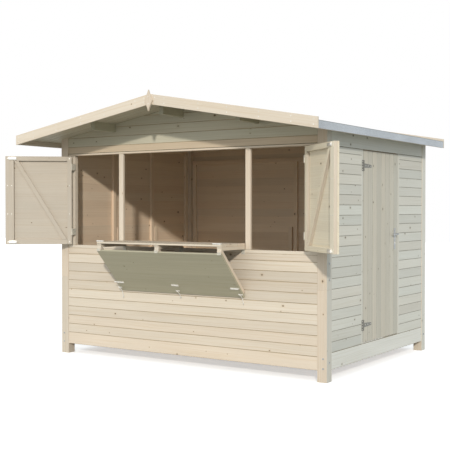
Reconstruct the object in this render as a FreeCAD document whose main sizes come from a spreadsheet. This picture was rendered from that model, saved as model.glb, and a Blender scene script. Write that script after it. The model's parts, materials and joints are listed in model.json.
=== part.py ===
"""Folding wooden kiosk: board walls on corner posts, a low gable roof, a serving hatch and a side door.

Origin: on the ground, under the middle of the roof. +X is to the right seen from the
serving side, +Y goes from the serving side to the back, +Z is up. Millimetres.
"""
import FreeCAD, Part, Sketcher
import os
import re
from FreeCAD import Vector

SIZES = [
    ("wall_width", 3000, "across the outer faces of the corner posts, left to right"),
    ("wall_depth", 2190, "across the outer faces of the corner posts, front to back"),
    ("post_width", 90, "square corner post"),
    ("post_joint", 770, "height where the lower post ends and the upper post starts"),
    ("wall_base", 97, "ground to the lowest wall board"),
    ("board", 18, "thickness of the wall, roof and door boards"),
    ("recess", 4, "how far the wall boards stand back from the post faces"),
    ("stud_width", 45, "wall framing batten, along the wall"),
    ("stud_depth", 28, "wall framing batten, into the room"),
    ("short_stud_top", 1250, "top of the short battens beside the panel joints"),
    ("sill_height", 1090, "top of the half wall under the hatch"),
    ("sill_thick", 28, "flat board that caps the half wall"),
    ("head_height", 1978, "underside of the boards over the hatch and the door"),
    ("hatch_jamb", 90, "boards between a corner post and the clear hatch"),
    ("mullion_width", 54, "upright between the bays of the hatch"),
    ("front_overhang", 448, "front post faces to the back of the front bargeboard"),
    ("back_overhang", 84, "back post faces to the front of the back bargeboard"),
    ("eave_rise", 186, "head of the hatch and the door to the top of the bargeboards at the eaves"),
    ("ridge_rise", 291, "top of the bargeboards, from the eaves to the ridge"),
    ("side_overhang", 158, "wall to the outside of the grey trim at the eave"),
    ("barge_lip", 24, "how far the bargeboards stand above the roof covering"),
    ("barge_depth", 91, "bargeboard, measured upright"),
    ("felt", 4, "roof covering and eave trim"),
    ("eave_trim_depth", 62, "grey trim on the eave board, top to bottom"),
    ("beam_width", 45, "roof beam, across"),
    ("beam_depth", 72, "side roof beam, top to bottom"),
    ("ridge_beam_depth", 115, "ridge beam, top to bottom"),
    ("beam_setback", 150, "front ends of the beams behind the front edge of the roof boards"),
    ("beam_offset", 812, "middle of a side beam from the ridge"),
    ("finial_width", 86, "pointed board on the joint of the bargeboards"),
    ("finial_length", 190, "pointed board, point to point"),
    ("finial_rise", 35, "upper point above the ridge"),
    ("shutter_width", 645, "side leaf of the hatch"),
    ("shutter_gap", 9, "ends of a shutter to the sill and to the head of the hatch"),
    ("shutter_angle", 139, "how far the side leaves stand open"),
    ("shutter_inset", 155, "outer face of a corner post to the hinge line of the side leaf"),
    ("leaf_batten", 28, "thickness of the battens on the leaves"),
    ("leaf_batten_width", 45, "width of the battens on the leaves"),
    ("lap_batten_width", 82, "width of the batten on a side leaf's free edge"),
    ("leaf_gap", 6, "gap round the door"),
    ("counter_length", 1390, "folding counter, left to right"),
    ("counter_depth", 375, "folding counter, wall to front edge"),
    ("counter_lift", 4, "gap between the sill and the counter's battens"),
    ("counter_board", 20, "thickness of the counter's boards"),
    ("counter_batten", 33, "depth of the battens under the counter"),
    ("prop_drop", 30, "sill to the upper front edge of the panel that props the counter"),
    ("prop_fall", 390, "upper to lower front edge of the panel that props the counter"),
    ("prop_foot", 12, "post faces to the panel's lower front edge"),
    ("door_width", 784, "clear width of the doorway"),
    ("door_middle", 0, "middle of the doorway from the middle of the side wall"),
    ("door_base", 243, "underside of the doorway"),
    ("jamb_width", 28, "upright beside the doorway, flush with the boards"),
    ("ledge_width", 90, "board across the inside of the door"),
    ("ledge_inset", 12, "door edge to the end of a ledge"),
    ("hinge_rise", 165, "doorway's sill to the middle of the lower hinge"),
    ("hinge_drop", 143, "head of the doorway to the middle of the upper hinge"),
    ("hinge_steel", 3, "thickness of the door's hinge plates"),
    ("hinge_length", 96, "height of the fixed hinge plate"),
    ("hinge_plate_width", 30, "width of the fixed hinge plate"),
    ("strap_length", 170, "length of the hinge strap on the door"),
    ("strap_root", 44, "height of the hinge strap at its root"),
    ("strap_tip", 22, "height of the hinge strap at its tip"),
    ("knuckle", 12, "outer diameter of the hinge knuckle"),
    ("pin", 6, "diameter of the hinge pin"),
    ("pin_clearance", 0.3, "clearance round the pin and between the knuckles"),
    ("handle_height", 1210, "lever above the ground"),
    ("handle_inset", 75, "middle of the handle from the free edge of the door"),
    ("handle_plate_length", 200, "height of the handle's back plate"),
    ("handle_plate_width", 34, "width of the handle's back plate"),
    ("handle_plate_thick", 3, "thickness of the handle's back plate"),
    ("handle_plate_rise", 55, "lever to the top of the back plate"),
    ("lever_length", 105, "length of the lever"),
    ("lever_thick", 12, "diameter of the lever"),
    ("lever_reach", 40, "back plate to the end of the lever's neck"),
    ("neck_thick", 18, "diameter of the lever's neck"),
    ("butt_length", 76, "height of a shutter hinge"),
    ("butt_width", 26, "leaf of a shutter hinge"),
    ("butt_inset", 125, "end of a shutter to the middle of its hinge"),
    ("butt_knuckle", 12, "diameter of a shutter hinge's knuckle"),
    ("bolt_inset", 30, "free edge of a shutter to its bolt"),
    ("bolt_length", 78, "length of a shutter bolt's case"),
    ("bolt_height", 26, "height of a shutter bolt's case"),
    ("bolt_thick", 12, "how far a shutter bolt stands out"),
    ("batten_bow", 7, "how far the front ends of the counter's battens are hollowed"),
    ("prop_batten_rise", 30, "lower edge of the prop's boards to the ends of its battens"),
    ("fold_plate", 24, "height of the hinges between the counter and its prop"),
    ("fold_width", 40, "width of the counter's hinges"),
    ("sill_plate", 38, "height of the hinge plates on the wall under the sill"),
    ("catch_rise", 108, "lower edge of the prop to its catches"),
    ("catch_length", 78, "length of the catches on the prop"),
    ("catch_width", 20, "width of the catches on the prop"),
    ("catch_thick", 8, "how far a catch stands out"),
]

doc = FreeCAD.newDocument("folding_kiosk")
sheet = doc.addObject("Spreadsheet::Sheet", "Sizes")
for row, (alias, value, meaning) in enumerate(SIZES, start=1):
    sheet.set("A%d" % row, alias)
    sheet.set("B%d" % row, str(value))
    sheet.set("C%d" % row, meaning)
    sheet.setAlias("B%d" % row, alias)
doc.recompute()

ALIASES = {alias for alias, value, meaning in SIZES}
PIECES = []


def formula(text):
    """Point every size in a formula at its cell of the sheet."""
    return re.sub(r"[a-z][a-z_]*",
                  lambda word: ("Sizes." if word.group() in ALIASES else "") + word.group(), text)


def value(text):
    """The number that a formula gives now."""
    return float(sheet.evalExpression(formula(text)))


def bind(thing, **formulas):
    """Bind the properties of an object; an underscore pair stands for a dot."""
    for name, text in formulas.items():
        thing.setExpression(name.replace("__", "."), formula(text))


def name_piece(thing, label):
    """Give a finished piece the name of its file."""
    thing.Label = label
    PIECES.append(thing)
    return thing


def box(name, x, y, z, size_x, size_y, size_z):
    """A plank from its lowest corner and its three sizes."""
    plank = doc.addObject("Part::Box", name)
    bind(plank, Length=size_x, Width=size_y, Height=size_z,
         Placement__Base__x=x, Placement__Base__y=y, Placement__Base__z=z)
    return plank


def prism(name, plane, outline, thickness, start):
    """A padded sketch: an outline on the XZ or YZ plane, from start along +Y or +X."""
    body = doc.addObject("PartDesign::Body", name)
    base = [f for f in body.Origin.OriginFeatures if f.Role == plane][0]
    sketch = body.newObject("Sketcher::SketchObject", name + "_outline")
    sketch.AttachmentSupport = (base, [""])
    sketch.MapMode = "FlatFace"
    points = [Vector(value(u), value(v), 0) for u, v in outline]
    count = len(points)
    for i in range(count):
        sketch.addGeometry(Part.LineSegment(points[i], points[(i + 1) % count]), False)
    for i in range(count):
        sketch.addConstraint(Sketcher.Constraint("Coincident", i, 2, (i + 1) % count, 1))
    for i, (u, v) in enumerate(outline):
        for kind, text, now in (("DistanceX", u, points[i].x), ("DistanceY", v, points[i].y)):
            index = sketch.addConstraint(Sketcher.Constraint(kind, -1, 1, i, 1, now))
            sketch.setExpression("Constraints[%d]" % index, formula(text))
    pad = body.newObject("PartDesign::Pad", name + "_pad")
    pad.Profile = sketch
    pad.setExpression("Length", formula(thickness))
    if plane == "XZ_Plane":
        pad.Reversed = True
        body.setExpression("Placement.Base.y", formula(start))
    else:
        body.setExpression("Placement.Base.x", formula(start))
    return body


def gather(name, shapes):
    """Separate like pieces that share a node."""
    group = doc.addObject("Part::Compound", name)
    group.Links = shapes
    return group


def fuse(name, shapes):
    """Pieces glued and nailed into one."""
    joined = doc.addObject("Part::MultiFuse", name)
    joined.Shapes = shapes
    return joined


# Places worked out from the sizes
LEFT = "(-wall_width / 2)"
RIGHT = "(wall_width / 2)"
ROOF_LENGTH = "(wall_depth + front_overhang + back_overhang)"
ROOF_FRONT = "((board - %s) / 2)" % ROOF_LENGTH
FRONT = "(%s + front_overhang)" % ROOF_FRONT
BACK = "(%s + wall_depth)" % FRONT
MIDDLE = "((%s + %s) / 2)" % (FRONT, BACK)
BAY = "(wall_width - 2 * post_width)"
BAY_LEFT = "(%s + post_width)" % LEFT
RIDGE = "(head_height + eave_rise + ridge_rise)"
HALF_ROOF = "(wall_width / 2 + side_overhang)"
SLOPE = "(ridge_rise / %s)" % HALF_ROOF
DOOR_FRONT = "(%s + door_middle - door_width / 2)" % MIDDLE
DOOR_BACK = "(%s + door_middle + door_width / 2)" % MIDDLE
HINGE_X = "(%s - recess + knuckle / 2)" % RIGHT
HINGE_Y = "(%s + leaf_gap / 2)" % DOOR_FRONT
HINGE_LOW = "(door_base + hinge_rise)"
HINGE_HIGH = "(head_height - hinge_drop)"
SHUTTER_X = "(wall_width / 2 - shutter_inset)"
SHUTTER_Y = "(%s + recess - board)" % FRONT
SHUTTER_Z = "(sill_height + shutter_gap)"
SHUTTER_HEIGHT = "(head_height - sill_height - 2 * shutter_gap)"


def roof_line(distance, drop="0"):
    """Height of the bargeboard's top at a distance from the ridge, less a drop."""
    return "(%s - %s * (%s) - (%s))" % (RIDGE, SLOPE, distance, drop)


def deck_under(distance):
    """Height of the underside of the roof boards at a distance from the ridge."""
    return roof_line(distance, "barge_lip + felt + board")


SIDE_TOP = deck_under("wall_width / 2")


def corner_posts():
    """Each corner post is a lower and an upper length, the upper one cut to the roof's slope."""
    inner = "(wall_width / 2 - post_width)"
    outer = "(wall_width / 2)"
    for end, y in (("front", FRONT), ("back", "(%s - post_width)" % BACK)):
        lowers = []
        uppers = []
        for side, sign in (("left", "-"), ("right", "")):
            name = "%s_%s_post" % (end, side)
            x = LEFT if side == "left" else inner
            lowers.append(box(name + "_lower", x, y, "0", "post_width", "post_width", "post_joint"))
            outline = [(sign + inner, "post_joint"), (sign + outer, "post_joint"),
                       (sign + outer, deck_under(outer)), (sign + inner, deck_under(inner))]
            uppers.append(prism(name + "_upper", "XZ_Plane", outline, "post_width", y))
        name_piece(gather(end + "_lowers", lowers), end + "_lower_posts")
        name_piece(gather(end + "_uppers", uppers), end + "_upper_posts")


def front_wall():
    """Half wall with its cap and studs, and the uprights of the hatch."""
    face = "(%s + recess)" % FRONT
    inside = "(%s + board)" % face
    boards = box("front_wall", BAY_LEFT, face, "wall_base", BAY, "board",
                 "sill_height - sill_thick - wall_base")
    name_piece(boards, "front_wall")
    sill = box("front_sill", BAY_LEFT, face, "sill_height - sill_thick", BAY, "board + stud_depth",
               "sill_thick")
    name_piece(sill, "front_sill")
    steps = 4
    studs = []
    for i in range(steps + 1):
        x = "(%s + %d / %d * (%s - stud_width))" % (BAY_LEFT, i, steps, BAY)
        studs.append(box("front_stud", x, inside, "wall_base + stud_width", "stud_width", "stud_depth",
                         "sill_height - sill_thick - wall_base - stud_width"))
    name_piece(gather("front_studs", studs), "front_wall_studs")
    height = "head_height - sill_height"
    uprights = [box("hatch_jamb", x, face, "sill_height", "hatch_jamb", "board + stud_depth", height)
                for x in (BAY_LEFT, "(%s / 2 - hatch_jamb)" % BAY)]
    for sign in ("-", ""):
        x = "(%s(counter_length + mullion_width) / 2 - mullion_width / 2)" % sign
        uprights.append(box("mullion", x, face, "sill_height", "mullion_width", "stud_depth", height))
    name_piece(gather("hatch_uprights", uprights), "hatch_uprights")


def gable_outline(bottom):
    """Outline of a gable between the posts, notched for the roof beams."""
    half = "(wall_width / 2 - post_width)"
    near = "(beam_offset - beam_width / 2)"
    far = "(beam_offset + beam_width / 2)"
    reach = "(beam_width / 2)"
    seat = deck_under(far) + " - beam_depth"
    ridge_seat = deck_under(reach) + " - ridge_beam_depth"
    right = [(half, deck_under(half)), (far, deck_under(far)), (far, seat), (near, seat),
             (near, deck_under(near)), (reach, deck_under(reach)), (reach, ridge_seat)]
    left = [("-" + x, z) for x, z in reversed(right)]
    return [(half, bottom)] + right + left + [("-" + half, bottom)]


def gables():
    """Boards of the front gable over the hatch and of the whole back wall, and its studs."""
    front = prism("front_gable", "XZ_Plane", gable_outline("head_height"), "board", "(%s + recess)" % FRONT)
    name_piece(front, "front_gable")
    back = prism("back_wall", "XZ_Plane", gable_outline("wall_base"), "board", "(%s - recess - board)" % BACK)
    name_piece(back, "back_wall")
    y = "(%s - recess - board - stud_depth)" % BACK
    base = "wall_base + stud_width"
    studs = [box("back_stud", x, y, base, "stud_width", "stud_depth", "head_height - wall_base - stud_width")
             for x in (BAY_LEFT, "(-stud_width / 2)", "(%s + %s - stud_width)" % (BAY_LEFT, BAY))]
    studs.append(box("back_short_stud", "(-stud_width * 2)", y, base, "stud_width", "stud_depth",
                     "short_stud_top - wall_base - stud_width"))
    name_piece(gather("back_studs", studs), "back_wall_studs")


def rails():
    """Rails behind the boards, between the posts: one low down on each wall, one at the top."""
    length = "(wall_depth - 2 * post_width)"
    start = "(%s + post_width)" % FRONT
    front_y = "(%s + recess + board)" % FRONT
    back_y = "(%s - recess - board - stud_depth)" % BACK
    left_x = "(%s + recess + board)" % LEFT
    right_x = "(%s - recess - board - stud_depth)" % RIGHT
    plate = "(%s - stud_width)" % SIDE_TOP
    for name, across, along in (("wall_bottom_rails", "wall_base", "wall_base"),
                                ("wall_top_rails", "head_height", plate)):
        parts = [box("rail", BAY_LEFT, y, across, BAY, "stud_depth", "stud_width") for y in (front_y, back_y)]
        parts += [box("rail", x, start, along, "stud_depth", length, "stud_width") for x in (left_x, right_x)]
        name_piece(gather("rails", parts), name)


def left_wall():
    """Left wall: boards over three panels, with studs at their joints."""
    length = "(wall_depth - 2 * post_width)"
    start = "(%s + post_width)" % FRONT
    boards = box("left_wall", "(%s + recess)" % LEFT, start, "wall_base", "board", length,
                 "%s - wall_base" % SIDE_TOP)
    name_piece(boards, "left_wall")
    inside = "(%s + recess + board)" % LEFT
    base = "wall_base + stud_width"
    height = "%s - wall_base - 2 * stud_width" % SIDE_TOP
    panels = 3
    studs = []
    for i in range(panels + 1):
        y = "(%s + %d / %d * (%s - stud_width))" % (start, i, panels, length)
        studs.append(box("left_stud", inside, y, base, "stud_depth", "stud_width", height))
        if 0 < i < panels:
            beside = "(%s + stud_width + stud_width / 3)" % y
            studs.append(box("left_short_stud", inside, beside, base, "stud_depth", "stud_width",
                             "short_stud_top - wall_base - stud_width"))
    name_piece(gather("left_studs", studs), "left_wall_studs")


def right_wall():
    """Right wall, split beside, under and over the doorway, with the doorway's uprights."""
    length = "(wall_depth - 2 * post_width)"
    start = "(%s + post_width)" % FRONT
    end = "(%s - post_width)" % BACK
    face = "(%s - recess - board)" % RIGHT
    inside = "(%s - recess - board - stud_depth)" % RIGHT
    base = box("right_base", face, start, "wall_base", "board", length, "door_base - wall_base")
    name_piece(base, "right_wall_base")
    header = box("right_header", face, start, "head_height", "board", length, "%s - head_height" % SIDE_TOP)
    name_piece(header, "right_wall_header")
    height = "head_height - door_base"
    front_end = "(%s - jamb_width)" % DOOR_FRONT
    back_start = "(%s + jamb_width)" % DOOR_BACK
    panels = [box("right_panel", face, y, "door_base", "board", "%s - %s" % (stop, y), height)
              for y, stop in ((start, front_end), (back_start, end))]
    name_piece(gather("right_panels", panels), "right_wall_panels")
    jambs = [box("door_jamb", face, y, "door_base", "board", "jamb_width", height)
             for y in (front_end, DOOR_BACK)]
    name_piece(gather("door_jambs", jambs), "doorway_uprights")
    studs = [box("right_stud", inside, y, "wall_base + stud_width", "stud_depth", "stud_width",
                 "%s - wall_base - 2 * stud_width" % SIDE_TOP)
             for y in (start, "(%s - stud_width)" % DOOR_FRONT, DOOR_BACK, "(%s - stud_width)" % end)]
    name_piece(gather("right_studs", studs), "right_wall_studs")


def roof():
    """Beams, boards, covering, bargeboards, eave boards with their trim, and the pointed finial."""
    reach = "(beam_width / 2)"
    low = deck_under(reach) + " - ridge_beam_depth"
    ridge = [(reach, deck_under(reach)), ("0", deck_under("0")), ("-" + reach, deck_under(reach)),
             ("-" + reach, low), (reach, low)]
    beam_length = "(%s - beam_setback)" % ROOF_LENGTH
    beam_start = "(%s + beam_setback)" % ROOF_FRONT
    beams = [prism("ridge_beam", "XZ_Plane", ridge, beam_length, beam_start)]
    near = "(beam_offset - %s)" % reach
    far = "(beam_offset + %s)" % reach
    low = deck_under(far) + " - beam_depth"
    edge = "(%s - felt)" % HALF_ROOF
    rim = HALF_ROOF
    inner = "(%s - board)" % edge
    bottom = roof_line(edge, "barge_lip + felt + eave_trim_depth")
    eaves = []
    trims = []
    for side, sign in (("left", "-"), ("right", "")):
        outline = [(sign + near, deck_under(near)), (sign + far, deck_under(far)),
                   (sign + far, low), (sign + near, low)]
        beams.append(prism(side + "_beam", "XZ_Plane", outline, beam_length, beam_start))
        deck = [("0", roof_line("0", "barge_lip + felt")), (sign + edge, roof_line(edge, "barge_lip + felt")),
                (sign + edge, deck_under(edge)), ("0", deck_under("0"))]
        name = side + "_roof_boards"
        name_piece(prism(name, "XZ_Plane", deck, ROOF_LENGTH, ROOF_FRONT), name)
        cover = [("0", roof_line("0", "barge_lip")), (sign + rim, roof_line(rim, "barge_lip")),
                 (sign + rim, roof_line(rim, "barge_lip + felt")), ("0", roof_line("0", "barge_lip + felt"))]
        name = side + "_roof_felt"
        name_piece(prism(name, "XZ_Plane", cover, ROOF_LENGTH, ROOF_FRONT), name)
        eave = [(sign + inner, deck_under(inner)), (sign + edge, deck_under(edge)),
                (sign + edge, bottom), (sign + inner, bottom)]
        eaves.append(prism(side + "_eave_board", "XZ_Plane", eave, ROOF_LENGTH, ROOF_FRONT))
        trim = [(sign + edge, roof_line(edge, "barge_lip + felt")),
                (sign + rim, roof_line(rim, "barge_lip + felt")), (sign + rim, bottom), (sign + edge, bottom)]
        trims.append(prism(side + "_eave_trim", "XZ_Plane", trim, ROOF_LENGTH, ROOF_FRONT))
        barge = [("0", RIDGE), (sign + rim, roof_line(rim)),
                 (sign + rim, roof_line(rim, "barge_depth")), ("0", roof_line("0", "barge_depth"))]
        ends = (("front", "(%s - board)" % ROOF_FRONT), ("back", "(%s + %s)" % (ROOF_FRONT, ROOF_LENGTH)))
        for end, y in ends:
            name = "%s_%s_bargeboard" % (end, side)
            name_piece(prism(name, "XZ_Plane", barge, "board", y), name)
    name_piece(gather("beams", beams), "roof_beams")
    name_piece(gather("eaves", eaves), "eave_boards")
    name_piece(gather("trims", trims), "eave_trims")
    tip = "(%s + finial_rise)" % RIDGE
    low_tip = "(%s - finial_length)" % tip
    third = "finial_length / 6"
    right = [("finial_width * 0.09", "(%s - %s)" % (tip, third)),
             ("finial_width * 0.23", "(%s - 2 * %s)" % (tip, third)),
             ("finial_width / 2", "(%s - 3 * %s)" % (tip, third)),
             ("finial_width * 0.23", "(%s + 2 * %s)" % (low_tip, third)),
             ("finial_width * 0.09", "(%s + %s)" % (low_tip, third))]
    left = [("-" + x, z) for x, z in reversed(right)]
    kite = [("0", tip)] + right + [("0", low_tip)] + left
    name_piece(prism("finial", "XZ_Plane", kite, "board", "(%s - 2 * board)" % ROOF_FRONT), "roof_finial")


def place_on_hinge(thing, side):
    """Turn a piece drawn about a shutter's hinge line to where the open shutter stands."""
    thing.Placement.Rotation = FreeCAD.Rotation(Vector(0, 0, 1), 0)
    sign = "-" if side == "left" else ""
    turn = ("-" if side == "left" else "") + "shutter_angle"
    bind(thing, Placement__Base__x=sign + SHUTTER_X, Placement__Base__y=SHUTTER_Y,
         Placement__Base__z=SHUTTER_Z, Placement__Rotation__Angle=turn)


def shutters():
    """Side leaves of the hatch: boards, a batten frame and a brace from the hinge foot upwards."""
    for side in ("left", "right"):
        start = "0" if side == "left" else "(-shutter_width)"
        stile = "0" if side == "left" else "(-leaf_batten_width)"
        lap = "(shutter_width - lap_batten_width)" if side == "left" else "(-shutter_width)"
        high = "(%s - leaf_batten_width)" % SHUTTER_HEIGHT
        parts = [box(side + "_boards", start, "0", "0", "shutter_width", "board", SHUTTER_HEIGHT),
                 box(side + "_stile", stile, "board", "0", "leaf_batten_width", "leaf_batten",
                     SHUTTER_HEIGHT),
                 box(side + "_lap", lap, "board", "0", "lap_batten_width", "leaf_batten", SHUTTER_HEIGHT)]
        parts += [box(side + "_rail", start, "board", z, "shutter_width", "leaf_batten", "leaf_batten_width")
                  for z in ("0", high)]
        sign = "" if side == "left" else "-"
        foot = "leaf_batten_width"
        head = "(shutter_width - lap_batten_width)"
        slant = "leaf_batten_width"
        brace = [(sign + foot, "leaf_batten_width"),
                 (sign + "(%s + %s)" % (foot, slant), "leaf_batten_width"),
                 (sign + head, high), (sign + "(%s - %s)" % (head, slant), high)]
        parts.append(prism(side + "_brace", "XZ_Plane", brace, "leaf_batten", "board"))
        leaf = fuse(side + "_leaf", parts)
        place_on_hinge(leaf, side)
        name_piece(leaf, side + "_shutter")


def shutter_hardware():
    """Butt hinges on the hinge lines of the shutters, and the bolts on their free edges."""
    hinges = []
    bolts = []
    for side in ("left", "right"):
        for z in ("butt_inset", "(%s - butt_inset)" % SHUTTER_HEIGHT):
            low = "(%s - butt_length / 2)" % z
            barrel = doc.addObject("Part::Cylinder", side + "_butt_knuckle")
            bind(barrel, Radius="butt_knuckle / 2", Height="butt_length", Placement__Base__z=low,
                 Placement__Base__y="(-butt_knuckle / 2)")
            start = "0" if side == "left" else "(-butt_width)"
            plate = box(side + "_butt_plate", start, "(-butt_knuckle / 2)", low, "butt_width",
                        "butt_knuckle / 2", "butt_length")
            hinge = fuse(side + "_butt", [barrel, plate])
            place_on_hinge(hinge, side)
            hinges.append(hinge)
        edge = "(bolt_inset - shutter_width)"
        if side == "left":
            edge = "(shutter_width - bolt_inset - bolt_length)"
        for z in ("(leaf_batten_width / 2 - bolt_height / 2)",
                  "(%s - leaf_batten_width / 2 - bolt_height / 2)" % SHUTTER_HEIGHT):
            case = box(side + "_bolt", edge, "board + leaf_batten", z, "bolt_length", "bolt_thick",
                       "bolt_height")
            bar = box(side + "_bolt_bar", edge, "board + leaf_batten", "(%s + bolt_height / 3)" % z,
                      "bolt_length", "bolt_thick + bolt_height / 6", "bolt_height / 3")
            bolt = fuse(side + "_bolt_case", [case, bar])
            place_on_hinge(bolt, side)
            bolts.append(bolt)
    name_piece(gather("butt_hinges", hinges), "shutter_hinges")
    name_piece(gather("shutter_bolts", bolts), "shutter_bolts")


def counter():
    """Folding counter: boards on battens, and the panel that folds down to prop the front edge."""
    y_front = "(%s - counter_depth)" % FRONT
    under = "(sill_height + counter_lift)"
    top = box("counter_top", "(-counter_length / 2)", y_front, "%s + counter_batten" % under,
              "counter_length", "counter_depth", "counter_board")
    name_piece(top, "counter_top")
    prop_top = "(sill_height - prop_drop)"
    prop_bottom = "(%s - prop_fall)" % prop_top
    run = "(counter_depth - prop_foot)"
    length = "sqrt(%s * %s + prop_fall * prop_fall)" % (run, run)
    down_y = "(%s / %s)" % (run, length)
    down_z = "(prop_fall / %s)" % length

    def on_prop(rise, depth):
        """A point of the prop's section: up from its lower front edge, and in from its front face."""
        return ("(%s - prop_foot - %s * (%s) + %s * (%s))" % (FRONT, down_y, rise, down_z, depth),
                "(%s + %s * (%s) + %s * (%s))" % (prop_bottom, down_z, rise, down_y, depth))

    boards = prism("prop_boards", "YZ_Plane",
                   [on_prop("0", "0"), on_prop(length, "0"), on_prop(length, "board"), on_prop("0", "board")],
                   "counter_length", "(-counter_length / 2)")
    thick = "board + leaf_batten"
    batten = [on_prop("prop_batten_rise", "board"), on_prop(length, "board"), on_prop(length, thick),
              on_prop("prop_batten_rise", thick)]
    nose = "(%s + counter_lift)" % prop_top
    high = "(%s + counter_batten)" % under
    corner_y = on_prop(length, thick)[0]
    bracket = [(FRONT, under), (FRONT, high), (y_front, high),
               ("(%s + batten_bow)" % y_front, "(%s * 0.7 + %s * 0.3)" % (high, nose)),
               ("(%s + batten_bow / 2)" % y_front, "(%s * 0.3 + %s * 0.7)" % (high, nose)),
               (y_front, nose), (corner_y, under)]
    shelf_battens = []
    prop_battens = []
    places = ("(-counter_length / 2)", "(-leaf_batten_width / 2)", "(counter_length / 2 - leaf_batten_width)")
    for x in places:
        shelf_battens.append(prism("shelf_batten", "YZ_Plane", bracket, "leaf_batten_width", x))
        prop_battens.append(prism("prop_batten", "YZ_Plane", batten, "leaf_batten_width", x))
    name_piece(gather("shelf_battens", shelf_battens), "counter_battens")
    name_piece(fuse("prop_panel", [boards] + prop_battens), "counter_prop")
    plates = []
    for x in ("(-counter_length / 2)", "(-fold_width / 2)", "(counter_length / 2 - fold_width)"):
        plates.append(box("fold_hinge", x, "(%s - hinge_steel)" % y_front, "(%s - hinge_steel)" % prop_top,
                          "fold_width", "hinge_steel", "fold_plate"))
        flat = box("sill_flat", x, "(%s - fold_width / 2)" % FRONT, "sill_height", "fold_width",
                   "fold_width", "counter_lift")
        leaf = box("sill_leaf", x, "(%s + recess - counter_lift)" % FRONT, "(sill_height - sill_plate)",
                   "fold_width", "counter_lift", "sill_plate + counter_lift")
        plates.append(fuse("sill_hinge", [flat, leaf]))
    name_piece(gather("fold_hinges", plates), "counter_hinges")
    outline = [on_prop("catch_rise", "0"), on_prop("catch_rise + catch_width", "0"),
               on_prop("catch_rise + catch_width", "-catch_thick"), on_prop("catch_rise", "-catch_thick")]
    catches = [prism("catch", "YZ_Plane", outline, "catch_length", x)
               for x in ("(-counter_length / 2 + leaf_batten_width / 4)", "(-catch_length / 2)",
                         "(counter_length / 2 - leaf_batten_width / 4 - catch_length)")]
    name_piece(gather("catches", catches), "prop_catches")


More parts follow.
